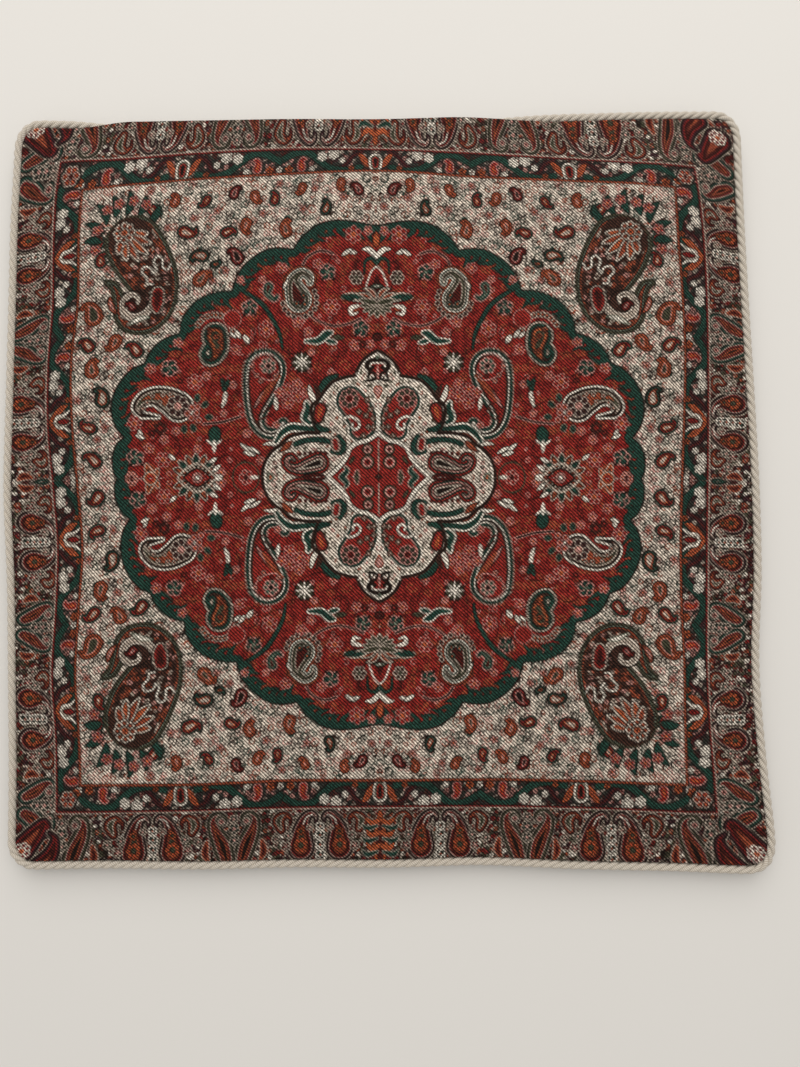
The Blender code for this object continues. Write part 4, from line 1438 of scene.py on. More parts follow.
@dataclass
class Shell:
    """A closed piece, gathered from grids, rings and the walls between them."""

    points: list[np.ndarray] = field(default_factory=list)
    faces: list[np.ndarray] = field(default_factory=list)
    count: int = 0

    def add(self, points: np.ndarray) -> np.ndarray:
        """Adds points and gives their numbers."""
        self.points.append(points.reshape(-1, 3))
        self.count += len(self.points[-1])
        return np.arange(self.count - len(self.points[-1]), self.count)

    def grid(self, points: np.ndarray, up: bool) -> np.ndarray:
        """Adds a grid of points with its faces.

        Args:
            points: Rows along, columns across, and x, y and z.
            up: Whether the faces look up.

        Returns:
            The numbers of the points round its edge, turning left as seen from above.
        """
        rows, cols = points.shape[:2]
        at = self.add(points).reshape(rows, cols)
        quads = np.stack([at[:-1, :-1], at[:-1, 1:], at[1:, 1:], at[1:, :-1]], -1).reshape(-1, 4)
        self.faces.append(quads if up else quads[:, ::-1])
        return np.concatenate([at[0, :-1], at[:-1, -1], at[-1, :0:-1], at[:0:-1, 0]])

    def wall(self, lower: np.ndarray, upper: np.ndarray) -> None:
        """Joins two rings. A ring of several times as many points as the other is fanned to it.

        Args:
            lower: The ring that is beneath, or further in on the underside.
            upper: The ring that is above it.
        """
        big, small = (lower, upper) if len(lower) >= len(upper) else (upper, lower)
        ratio = len(big) // len(small)
        if ratio == 1:
            quads = np.stack([lower, np.roll(lower, -1), np.roll(upper, -1), upper], -1)
            self.faces.append(quads)
            return
        step = np.arange(len(big))
        held = (step + ratio // 2) // ratio % len(small)
        fans = np.stack([big, np.roll(big, -1), small[held]], -1)
        middles = np.arange(len(small)) * ratio + ratio - ratio // 2
        gaps = np.stack([big[middles % len(big)], np.roll(small, -1), small], -1)
        flip = big is upper
        for tris in (fans, gaps):
            tris = tris[:, ::-1] if flip else tris
            self.faces.append(np.hstack([tris, tris[:, -1:]]))

    def mesh(self, name: str) -> bpy.types.Object:
        """Makes the piece.

        Args:
            name: What it is called.

        Returns:
            Its object, in the scene, with its points in metres and its faces smooth.
        """
        points = np.vstack(self.points) * MM
        quads = np.vstack(self.faces).astype(np.int32)
        three = quads[:, 2] == quads[:, 3]
        sizes = np.where(three, 3, 4).astype(np.int32)
        used = np.ones(quads.shape, bool)
        used[three, 3] = False
        data = bpy.data.meshes.new(name)
        data.vertices.add(len(points))
        data.vertices.foreach_set("co", points.ravel().astype(np.float32))
        data.loops.add(int(sizes.sum()))
        data.loops.foreach_set("vertex_index", quads[used])
        data.polygons.add(len(quads))
        starts = np.concatenate([[0], np.cumsum(sizes)[:-1]]).astype(np.int32)
        data.polygons.foreach_set("loop_start", starts)
        data.polygons.foreach_set("use_smooth", np.ones(len(quads), bool))
        data.update(calc_edges=True)
        data.validate()
        made = bpy.data.objects.new(name, data)
        bpy.context.scene.collection.objects.link(made)
        return made


def add_node(
    tree: bpy.types.NodeTree, kind: str, inputs: Optional[dict] = None, **settings
) -> bpy.types.Node:
    """Adds one node.

    Args:
        tree: The tree that gets it.
        kind: The name of its type.
        inputs: For each input, by name or number, a constant or the output linked to it.
        **settings: The node's own properties.

    Returns:
        The node.
    """
    made = tree.nodes.new(kind)
    for key, value in settings.items():
        setattr(made, key, value)
    for key, value in (inputs or {}).items():
        if isinstance(value, bpy.types.NodeSocket):
            tree.links.new(value, made.inputs[key])
        else:
            made.inputs[key].default_value = value
    return made


def finish_piece(piece: bpy.types.Object, body: str, slot: str, *nodes: str) -> bpy.types.Object:
    """Puts a piece on what it rides on and hides the solids it stands for.

    Args:
        piece: The piece.
        body: What it rides on.
        slot: Not used.
        nodes: The solids it stands for.

    Returns:
        The same piece.
    """
    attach(piece, body)
    if nodes:
        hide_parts(*nodes)
    faces = len(piece.data.polygons)
    LOG.info("%s: %d faces on %s", piece.name, faces, body)
    return piece


# ---------------------------------------------------------------------------------------------
# Finishes
# ---------------------------------------------------------------------------------------------


@dataclass(frozen=True)
class Finish:
    """A material with a name, a roughness and a way to draw its colour."""

    name: str = "finish"
    roughness: float = 0.85

    def material(self) -> bpy.types.Material:
        """Builds it once and gives it again after that."""
        found = bpy.data.materials.get(self.name)
        if found:
            return found
        made = bpy.data.materials.new(self.name)
        made.use_nodes = True
        tree = made.node_tree
        tree.nodes.clear()
        shader = add_node(tree, "ShaderNodeBsdfPrincipled", {"Roughness": self.roughness})
        add_node(tree, "ShaderNodeOutputMaterial", {"Surface": shader.outputs["BSDF"]})
        self.draw(tree, shader)
        return made

    def draw(self, tree: bpy.types.NodeTree, shader: bpy.types.Node) -> None:
        """Links the finish's own pattern to the shader."""

    def graded(
        self, tree: bpy.types.NodeTree, share: bpy.types.NodeSocket, low: str, high: str,
        ends: Point = (0.0, 1.0),
    ) -> bpy.types.NodeSocket:
        """A colour between two others, by a share that runs from one end to the other."""
        ramp = add_node(tree, "ShaderNodeValToRGB", {"Fac": share})
        for stop, place, colour in zip(ramp.color_ramp.elements, ends, (low, high)):
            stop.position, stop.color = place, linear(colour)
        return ramp.outputs["Color"]

    def threads(self, tree: bpy.types.NodeTree, angle: float, pitch: float) -> bpy.types.NodeSocket:
        """A band across every thread or twill line.

        Args:
            tree: The material's tree.
            angle: Which way the lines run, in degrees from X.
            pitch: Their spacing in millimetres.

        Returns:
            A number from 0 between two lines to 1 on one.
        """
        place = add_node(tree, "ShaderNodeTexCoord").outputs["Object"]
        flat = add_node(
            tree, "ShaderNodeMapping",
            {"Vector": place, "Rotation": (0.0, 0.0, math.radians(-angle))},
        )
        wave = add_node(
            tree, "ShaderNodeTexWave",
            # A wave texture has one band for every 0.1 * pi of its scaled length.
            {
                "Vector": flat.outputs["Vector"], "Scale": 0.1 * math.pi / (pitch * MM),
                "Distortion": 0.0,
            },
            bands_direction="Y", wave_profile="SIN",
        )
        return wave.outputs["Fac"]


@dataclass(frozen=True)
class FaceTwill(Finish):
    """Polyester and cotton jacquard twill with its design woven in.

    The weft shows as short steps on slanting lines, so the colour is broken into threads and the
    surface is dry and slightly ribbed. The colour is also darkened in the hollows between the
    slanting lines, partly the weave's own look and partly painted shade.
    """

    name: str = "jacquard_twill"
    roughness: float = 0.86
    attribute: str = "design"
    # The real twill lines are 0.84 mm apart, which is too fine to show, so they are drawn coarser.
    twill_mm: float = 1.5
    thread_mm: float = 0.75

    def draw(self, tree: bpy.types.NodeTree, shader: bpy.types.Node) -> None:
        """Breaks the woven colours into twill lines and single threads, with painted shade between
        lines.

        Args:
            tree: The material's tree.
            shader: Its shader.
        """
        design = add_node(
            tree, "ShaderNodeAttribute", attribute_name=self.attribute
        ).outputs["Color"]
        line = self.threads(tree, -45, self.twill_mm)
        place = add_node(tree, "ShaderNodeTexCoord").outputs["Object"]
        scaled = add_node(
            tree, "ShaderNodeVectorMath", {0: place, 1: (1.0, 1.0, 0.0)}, operation="MULTIPLY"
        )
        stitch = add_node(
            tree, "ShaderNodeVectorMath",
            {0: scaled.outputs["Vector"], 1: (self.thread_mm * MM, self.thread_mm * MM, 1.0)},
            operation="SNAP",
        )
        grain = add_node(
            tree, "ShaderNodeTexWhiteNoise", {"Vector": stitch.outputs["Vector"]}
        ).outputs["Value"]
        soft = add_node(
            tree, "ShaderNodeTexNoise", {"Vector": place, "Scale": 26.0, "Detail": 3.0}
        ).outputs["Fac"]
        ribs = add_node(
            # Painted shade: between the twill lines, where the bump below sinks, the colour drops
            # to a fifth; the weave's own darker look is part of it.
            tree, "ShaderNodeMapRange",
            {"Value": line, "From Min": 0.08, "From Max": 0.8, "To Min": 0.2, "To Max": 1.28},
            interpolation_type="SMOOTHSTEP",
        ).outputs["Result"]
        dots = add_node(
            tree, "ShaderNodeMapRange", {"Value": grain, "To Min": 0.45, "To Max": 1.4}
        ).outputs["Result"]
        wear = add_node(
            tree, "ShaderNodeMapRange",
            {"Value": soft, "From Min": 0.3, "From Max": 0.7, "To Min": 0.93, "To Max": 1.07},
        ).outputs["Result"]
        gain = add_node(tree, "ShaderNodeMath", {0: ribs, 1: dots}, operation="MULTIPLY").outputs[0]
        gain = add_node(tree, "ShaderNodeMath", {0: gain, 1: wear}, operation="MULTIPLY").outputs[0]
        shown = add_node(
            tree, "ShaderNodeVectorMath", {0: design, "Scale": gain}, operation="SCALE"
        )
        tree.links.new(shown.outputs["Vector"], shader.inputs["Base Color"])
        bump = add_node(
            tree, "ShaderNodeBump", {"Height": gain, "Strength": 0.4, "Distance": 0.12 * MM}
        )
        tree.links.new(bump.outputs["Normal"], shader.inputs["Normal"])
        shader.inputs["Specular IOR Level"].default_value = 0.12


@dataclass(frozen=True)
class PlainWeave(Finish):
    """Plain-woven cloth of one dye: crossing threads, painted shade between them, slight fading."""

    name: str = "plain_weave"
    roughness: float = 0.88
    low: str = "#5A1C1B"
    high: str = "#702624"
    thread_mm: float = 1.1
    sheen: float = 0.05

    def draw(self, tree: bpy.types.NodeTree, shader: bpy.types.Node) -> None:
        """Crosses the threads, paints shade in the gaps between them and mottles their dye.

        Args:
            tree: The material's tree.
            shader: Its shader.
        """
        warp = self.threads(tree, 0, self.thread_mm)
        weft = self.threads(tree, 90, self.thread_mm)
        cross = add_node(tree, "ShaderNodeMath", {0: warp, 1: weft}, operation="MAXIMUM").outputs[0]
        place = add_node(tree, "ShaderNodeTexCoord").outputs["Object"]
        soft = add_node(
            tree, "ShaderNodeTexNoise", {"Vector": place, "Scale": 60.0, "Detail": 4.0}
        ).outputs["Fac"]
        mottle = self.graded(tree, soft, self.low, self.high, (0.3, 0.7))
        # Painted shade: the gaps between the threads, where the bump below sinks, are darkened.
        gain = add_node(
            tree, "ShaderNodeMapRange", {"Value": cross, "To Min": 0.72, "To Max": 1.12}
        ).outputs["Result"]
        shown = add_node(
            tree, "ShaderNodeVectorMath", {0: mottle, "Scale": gain}, operation="SCALE"
        )
        tree.links.new(shown.outputs["Vector"], shader.inputs["Base Color"])
        bump = add_node(
            tree, "ShaderNodeBump", {"Height": cross, "Strength": 0.3, "Distance": 0.1 * MM}
        )
        tree.links.new(bump.outputs["Normal"], shader.inputs["Normal"])
        shader.inputs["Sheen Weight"].default_value = self.sheen


@dataclass(frozen=True)
class CordYarn(Finish):
    """Cream spun cotton yarn; the grooves between strands show a dark yarn and painted shade."""

    name: str = "spun_cotton"
    roughness: float = 0.82
    pale: str = "#D2CABD"
    deep: str = "#A89C8C"
    dark: str = "#4A3D34"
    fibre_mm: float = 0.9

    def draw(self, tree: bpy.types.NodeTree, shader: bpy.types.Node) -> None:
        """Winds fibres round each strand, with painted shade between them, and darkens the grooves.

        Args:
            tree: The material's tree.
            shader: Its shader.
        """
        uv = add_node(tree, "ShaderNodeUVMap", uv_map="strand").outputs["UV"]
        wave = add_node(
            tree, "ShaderNodeTexWave",
            {"Vector": uv, "Scale": 1.0, "Distortion": 1.5, "Detail": 1.0},
            bands_direction="DIAGONAL", wave_profile="SIN",
        ).outputs["Fac"]
        depth = add_node(tree, "ShaderNodeAttribute", attribute_name="groove_shade_depth").outputs["Fac"]
        # Painted shade: the deep tone is the cord in shade, laid in the hollows between fibres
        # where the bump below sinks.
        strand = self.graded(tree, wave, self.deep, self.pale)
        # Painted shade with a dark yarn: the deeper a point lies in the cord, the more it takes the
        # dark colour.
        share = add_node(
            tree, "ShaderNodeMapRange",
            {"Value": depth, "From Min": 0.48, "From Max": 0.68, "To Min": 1.0, "To Max": 0.0},
            interpolation_type="SMOOTHSTEP",
        ).outputs["Result"]
        mix = add_node(tree, "ShaderNodeMix", data_type="RGBA")
        tree.links.new(share, mix.inputs["Factor"])
        colour = [s for s in mix.inputs if s.type == "RGBA"]
        tree.links.new(strand, colour[0])
        colour[1].default_value = linear(self.dark)
        shown = [s for s in mix.outputs if s.type == "RGBA"][0]
        tree.links.new(shown, shader.inputs["Base Color"])
        bump = add_node(
            tree, "ShaderNodeBump", {"Height": wave, "Strength": 0.4, "Distance": 0.15 * MM}
        )
        tree.links.new(bump.outputs["Normal"], shader.inputs["Normal"])
        shader.inputs["Sheen Weight"].default_value = 0.1


@dataclass(frozen=True)
class PlatedZinc(Finish):
    """Die-cast zinc with a nickel plate, tumbled smooth and slightly handled."""

    name: str = "nickel_plated_zinc"
    roughness: float = 0.3
    colour: str = "#B9B4AC"

    def draw(self, tree: bpy.types.NodeTree, shader: bpy.types.Node) -> None:
        """Mottles the plate and its polish.

        Args:
            tree: The material's tree.
            shader: Its shader.
        """
        place = add_node(tree, "ShaderNodeTexCoord").outputs["Object"]
        soft = add_node(
            tree, "ShaderNodeTexNoise", {"Vector": place, "Scale": 900.0, "Detail": 3.0}
        ).outputs["Fac"]
        rough = add_node(
            tree, "ShaderNodeMapRange", {"Value": soft, "To Min": 0.2, "To Max": 0.42}
        ).outputs["Result"]
        tree.links.new(rough, shader.inputs["Roughness"])
        plate = self.graded(tree, soft, "#8F8A83", self.colour)
        tree.links.new(plate, shader.inputs["Base Color"])
        shader.inputs["Metallic"].default_value = 1.0


BACK_CLOTH = PlainWeave("dyed_cotton_drill")
PAD_CLOTH = PlainWeave("unbleached_calico", 0.9, "#CFC5B2", "#E2DACA", 0.9)
WADDING = PlainWeave("polyester_wadding", 0.95, "#D9D6CF", "#F0EEE8", 2.4)
TAPE = PlainWeave("woven_polyester_tape", 0.8, "#3E1716", "#52201E", 0.9)
COIL = PlainWeave("drawn_nylon_coil", 0.45, "#4A1B1A", "#5E2422", 0.5)
THREAD = PlainWeave("spun_polyester_thread", 0.75, "#5C1F1D", "#7A2B28", 0.35)
CORD_TAPE = PlainWeave("cord_tape", 0.85, "#B9AC99", "#D2C7B6", 0.9)


# ---------------------------------------------------------------------------------------------
# The cover
# ---------------------------------------------------------------------------------------------


@dataclass(frozen=True)
class ClothPull:
    """How the cloth hangs off the straight grid of the design, as found on the real cushion.

    Each row is the powers of across and along, then what they add to the place across the design
    and along it, in millimetres. Across and along run from -1 to 1.
    """

    half: float = 219.0
    terms: tuple[tuple[int, int, float, float], ...] = (
        (0, 0, 1.85, -1.94), (1, 0, 233.01, 3.54), (0, 1, -1.43, 225.6), (1, 1, -11.13, 0.0),
        (0, 2, 1.41, -11.57), (2, 1, 1.66, 0.0), (5, 0, -16.07, 0.0), (1, 3, 13.31, 0.0),
        (2, 0, 0.0, 1.12), (0, 3, 0.0, 11.05), (0, 5, 0.0, -15.9), (2, 2, 0.0, 13.49),
    )
    left: tuple[SideBow, SideBow] = (
        SideBow((-2, -2, 0, 3.3, 1.3, -2, 0, 2, 1.7, -3, -3, -3, -3.3)),
        SideBow((-3.6, -3.6, -1, 2.3, 0, -2.1, -0.5, 1.3, 0, -3.2, -3.2, -3.1, -3.3)),
    )
    right: tuple[SideBow, SideBow] = (
        SideBow((0.7, 0.7, 0.7, 1.5, 0, -0.5, 0, 1, 2, 1, 0, 1.5, 2)),
        SideBow((1.7, 1.2, 0, -0.5, 0, 0, 0, 0, 0, 0, 0, -1, -1.3)),
    )
    far: tuple[SideBow, SideBow] = (
        SideBow((-3.3, -3.3, -2, -0.7, 0.7, -2.6, -3.3, -2.6, -2.6)),
        SideBow((3.3, 0, 0, 0, -1, -2.6, -4, -4, -2)),
    )
    near: tuple[SideBow, SideBow] = (
        SideBow((2, 2, 3.6, 2.6, 3, 2, 1.3, 0.7, 0.7)),
        SideBow((1.3, 3.3, 5.6, 5.7, 5.6, 4.6, 3.3, 2, 0)),
    )

    def place(self, x: np.ndarray, y: np.ndarray) -> tuple[np.ndarray, np.ndarray]:
        """Where in the design a place on the cover lies.

        Args:
            x: Places across the cover, in millimetres.
            y: Places along it.

        Returns:
            The same places in the design's own millimetres.
        """
        a, b = x / self.half, y / self.half
        u = sum(k * a**i * b**j for i, j, k, _ in self.terms)
        v = sum(k * a**i * b**j for i, j, _, k in self.terms)
        drift = np.where(u > 0, self.drift(u, b, *self.right), self.drift(-u, b, *self.left))
        rise = np.where(v > 0, self.drift(v, a, *self.far), self.drift(-v, a, *self.near))
        return u - np.sign(u) * drift, v - np.sign(v) * rise

    def drift(
        self, out: np.ndarray, share: np.ndarray, inner: SideBow, outer: SideBow
    ) -> np.ndarray:
        """How far outwards the cloth has wandered.

        Args:
            out: The place's distance out from the design's middle.
            share: Its place along the side, from -1 to 1.
            inner: How far the inner border's inner line has wandered.
            outer: How far its outer line has.

        Returns:
            The distance, in millimetres.
        """
        grows = smooth_step((out - 110) / 71.5)
        across = np.clip((out - 181.5) / 15.5, 0, 1)
        return grows * (inner.at(share) * (1 - across) + outer.at(share) * across)


@dataclass
class Stuffing:
    """A coarse simulation of the cover blown up by its wadding, for the face's soft swell."""

    form: CoverForm
    cells: int = 72
    pressure: float = 4.0
    frames: int = 20
    cap: float = 1.6

    def swell(self) -> np.ndarray:
        """Runs the simulation.

        Returns:
            For each point of a coarse square grid over the face, how far it rose, in millimetres.
        """
        side = np.linspace(-self.form.half, self.form.half, self.cells + 1)
        x, y = np.meshgrid(side, side)
        inset = self.form.inset(x, y)
        px, py = self.form.plan(x, y)
        shell = Shell()
        above = shell.grid(np.stack([px, py, self.form.face(inset) - 0.6], -1), True)
        below = shell.grid(np.stack([px, py, self.form.back(inset) + 0.6], -1), False)
        shell.wall(below, above)
        piece = shell.mesh("stuffing")
        pins = piece.vertex_groups.new(name="seam")
        pins.add([int(i) for i in np.concatenate([above, below])], 1.0, "REPLACE")
        cloth = piece.modifiers.new("cloth", "CLOTH")
        cloth.settings.quality = 6
        cloth.settings.use_pressure = True
        cloth.settings.uniform_pressure_force = self.pressure
        cloth.settings.effector_weights.gravity = 0.0
        cloth.settings.vertex_group_mass = "seam"
        cloth.settings.tension_stiffness = 60
        cloth.settings.compression_stiffness = 60
        cloth.settings.bending_stiffness = 2
        cloth.point_cache.frame_start, cloth.point_cache.frame_end = 1, self.frames
        for frame in range(1, self.frames + 1):
            bpy.context.scene.frame_set(frame)
        shown = piece.evaluated_get(bpy.context.evaluated_depsgraph_get()).to_mesh()
        places = np.zeros(len(shown.vertices) * 3, np.float32)
        shown.vertices.foreach_get("co", places)
        count = (self.cells + 1) ** 2
        rise = places.reshape(-1, 3)[:count, 2] / MM - shell.points[0][:, 2]
        bpy.data.objects.remove(piece)
        bpy.context.scene.frame_set(1)
        rise = rise.reshape(self.cells + 1, self.cells + 1)
        rise = rise - np.median(rise[10:-10, 10:-10])
        LOG.info("stuffing: rose from %.2f to %.2f mm", rise.min(), rise.max())
        return self.cap * np.tanh(rise / self.cap) * smooth_step(inset / 12)


def outermost(grid: np.ndarray) -> np.ndarray:
    """The outermost points of a square grid, once round."""
    return np.concatenate([grid[0, :-1], grid[:-1, -1], grid[-1, :0:-1], grid[:0:-1, 0]])


@dataclass
class FaceCloth:
    """The patterned face panel, turned in under the seam."""

    form: CoverForm
    pull: ClothPull = ClothPull()
    cells: int = 730
    under_cells: int = 73
    overhang: float = 4.6
    # The fold at the seam: its height, and how far it bulges out.
    fold_height: float = 11.2
    fold_round: float = 0.25
    # The turned-in hem: its width and the heights of its two sides.
    hem: float = 10.0
    hem_heights: tuple[float, float] = (10.65, 11.3)
    # Where the underside of the panel starts above the hem, and the least height it has.
    inner_start: float = 1.4
    inner_height: float = 11.7

    def plan(self, x: np.ndarray, y: np.ndarray) -> tuple[np.ndarray, np.ndarray]:
        """The plan of the face, which bulges out over the tucked stretch of the cord."""
        px, py = self.form.plan(x, y)
        out = self.overhang * self.form.tucked(px) * smooth_step(1 - (self.form.half - y) / 16)
        return px, py + out

    def heights(self, x: np.ndarray, y: np.ndarray, swell: np.ndarray) -> np.ndarray:
        """The height of the face with its soft swell.

        Args:
            x: Places across, in millimetres.
            y: Places along.
            swell: How far the face rose on a coarse square grid.

        Returns:
            The height at each place.
        """
        inset = self.form.inset(x, y)
        step = 2 * self.form.half / (len(swell) - 1)
        i = np.clip((y + self.form.half) / step, 0, len(swell) - 1.001)
        j = np.clip((x + self.form.half) / step, 0, len(swell) - 1.001)
        i0, j0 = i.astype(int), j.astype(int)
        fi, fj = smooth_step(i - i0), smooth_step(j - j0)
        rise = (
            swell[i0, j0] * (1 - fi) * (1 - fj) + swell[i0, j0 + 1] * (1 - fi) * fj
            + swell[i0 + 1, j0] * fi * (1 - fj) + swell[i0 + 1, j0 + 1] * fi * fj
        )
        rise = rise + 0.22 * np.sin(
            x / 23 + 1.3 * np.sin(y / 41)
        ) * np.sin(y / 29 + 0.8) * smooth_step(inset / 30)
        return self.form.face(inset) + np.minimum(rise, 1.5)

    def build(self, swell: np.ndarray) -> bpy.types.Object:
        """Makes the face panel.

        Args:
            swell: How far the face rose on a coarse square grid.

        Returns:
            The panel.
        """
        form = self.form
        shell = Shell()
        side = np.linspace(-form.half, form.half, self.cells + 1)
        x, y = np.meshgrid(side, side)
        px, py = self.plan(x, y)
        top = np.stack([px, py, self.heights(x, y, swell)], -1)
        loop = shell.grid(top, True)
        middle = outermost(top)
        middle[:, 2] = self.fold_height
        middle[:, :2] *= 1 + self.fold_round / form.half
        fold = shell.add(middle)
        shell.wall(fold, loop)
        side = np.linspace(-1, 1, self.under_cells + 1)
        cx, cy = np.meshgrid(side, side)
        square = outermost(np.stack([cx, cy], -1))
        last = fold
        low, high = self.hem_heights
        for inset, height in ((0.3, low), (self.hem, low), (self.hem, high), (0.75, high)):
            reach = form.half - inset
            rx, ry = self.plan(square[:, 0] * reach, square[:, 1] * reach)
            ring = shell.add(np.stack([rx, ry, np.full(len(rx), height)], -1))
            shell.wall(ring, last)
            last = ring
        reach = form.half - self.inner_start
        ix, iy = self.plan(cx * reach, cy * reach)
        under = self.heights(cx * reach, cy * reach, swell) - form.cloth
        under = np.maximum(under, self.inner_height)
        inner = shell.grid(np.stack([ix, iy, under], -1), False)
        shell.wall(inner, last)
        piece = shell.mesh("face_cloth")
        self.dye(piece, np.vstack(shell.points))
        self.unwrap(piece, len(top.reshape(-1, 3)) + len(middle))
        piece.data.materials.append(FaceTwill().material())
        finish_piece(piece, "cushion", "face_cloth", "face_panel")
        return piece

    def dye(self, piece: bpy.types.Object, points: np.ndarray) -> None:
        """Lays the woven design on the cloth as one colour for each point.

        Args:
            piece: The face panel.
            points: Its points, in millimetres.
        """
        design = woven_design()
        loom = Loom
        u, v = self.pull.place(points[:, 0], points[:, 1])
        rows, cols = design.shape[:2]
        fr = np.clip(np.abs(v) * loom.per_mm - 0.5, 0, rows - 1.001)
        fc = np.clip(np.abs(u) * loom.per_mm - 0.5, 0, cols - 1.001)
        r, c = fr.astype(int), fc.astype(int)
        fr, fc = (fr - r)[:, None], (fc - c)[:, None]
        shown = (design[r, c] * (1 - fc) + design[r, c + 1] * fc) * (1 - fr) + (
            design[r + 1, c] * (1 - fc) + design[r + 1, c + 1] * fc
        ) * fr
        colour = np.ones((len(points), 4), np.float32)
        colour[:, :3] = shown
        layer = piece.data.color_attributes.new("design", "FLOAT_COLOR", "POINT")
        layer.data.foreach_set("color", colour.ravel())

    def unwrap(self, piece: bpy.types.Object, above: int) -> None:
        """Lays the face flat on one map, with its underside small in a corner of its own.

        Args:
            piece: The face panel.
            above: How many of its points belong to the upper side.
        """
        data = piece.data
        count = len(data.vertices)
        places = np.zeros(count * 3, np.float32)
        data.vertices.foreach_get("co", places)
        places = places.reshape(-1, 3)[:, :2] / (2 * 0.232) + 0.5
        corners = np.zeros(len(data.loops), np.int32)
        data.loops.foreach_get("vertex_index", corners)
        starts = np.zeros(len(data.polygons), np.int32)
        totals = np.zeros(len(data.polygons), np.int32)
        data.polygons.foreach_get("loop_start", starts)
        data.polygons.foreach_get("loop_total", totals)
        hidden = np.maximum.reduceat((corners >= above).astype(np.int32), starts)
        hidden = np.repeat(hidden, totals).astype(bool)
        uv = places[corners] * 0.92
        uv[hidden] = places[corners[hidden]] * 0.06 + 0.93
        data.uv_layers.new(name="OFBake").data.foreach_set("uv", uv.astype(np.float32).ravel())


@dataclass
class BackCloth:
    """The plain back in two panels that meet along the zip."""

    form: CoverForm
    zip_line: float = -197.3
    slot_half: float = 4.7
    slot_length: float = 300.0
    gap: float = 0.15
    step: float = 3.5
    # The cloth is thicker over its hem: the hem's width, its top, and its outermost edge's top.
    hem: float = 9.9
    hem_height: float = 9.35
    seam_height: float = 9.4
    sheets: tuple[Point, Point] = ((0.4386, 0.4164), (0.4386, 0.0219))

    def edge(self, x: np.ndarray, side: int) -> np.ndarray:
        """Where a panel ends towards the zip, so that the seam runs straight on the real plan.

        Args:
            x: Places across, in millimetres.
            side: 1 for the main panel, -1 for the strip.

        Returns:
            The edge at each place.
        """
        open_slot = np.abs(x) < self.slot_length / 2
        wanted = self.zip_line + side * np.where(open_slot, self.slot_half, self.gap)
        found = wanted
        for _ in range(16):
            found = found + 0.5 * (wanted - self.form.plan(x, found)[1])
        return found

    def panel(self, name: str, side: int, node: str) -> bpy.types.Object:
        """Makes one panel.

        Args:
            name: What it is called.
            side: 1 for the main panel, -1 for the strip.
            node: The solid it stands for.

        Returns:
            The panel.
        """
        form = self.form
        half = form.half
        lines = np.linspace(-half, half, int(2 * half / self.step) + 1)
        ends = self.slot_length / 2
        xs = lines[np.abs(np.abs(lines) - ends) > 1.2]
        xs = np.sort(np.concatenate([xs, [-ends - 0.01, -ends + 0.01, ends - 0.01, ends + 0.01]]))
        ys = np.concatenate([lines[np.abs(np.abs(lines) - ends) > 1.2], [-ends, ends]])
        edge = self.edge(xs, side)
        ys = np.sort(ys[ys > edge.max() + 1.5] if side > 0 else ys[ys < edge.min() - 1.5])
        x, y = np.meshgrid(xs, ys)
        x = np.vstack([x, xs])
        y = np.vstack([edge, y] if side > 0 else [y, edge])
        inset = form.inset(x, y)
        px, py = form.plan(x, y)
        low = form.back(inset)
        high = low + form.cloth
        high = np.where(inset < self.hem, np.maximum(high, self.hem_height), high)
        high = np.where(inset < 0.5, self.seam_height, high)
        shell = Shell()
        below = shell.grid(np.stack([px, py, low], -1), False)
        above = shell.grid(np.stack([px, py, high], -1), True)
        shell.wall(below, above)
        piece = shell.mesh(name)
        piece.data.materials.append(BACK_CLOTH.material())
        bevel = piece.modifiers.new("soft_edge", "BEVEL")
        bevel.width, bevel.segments, bevel.limit_method = 0.25 * MM, 2, "ANGLE"
        bevel.angle_limit = math.radians(50)
        return finish_piece(piece, "cushion", "back_cloth", node)

    def build(self) -> None:
        for part, side, flat in zip(("main", "strip"), (1, -1), self.sheets):
            panel = self.panel("back_cloth_" + part, side, "back_panel_" + part)


# ---------------------------------------------------------------------------------------------
# Pieces that repeat or follow a path
# ---------------------------------------------------------------------------------------------


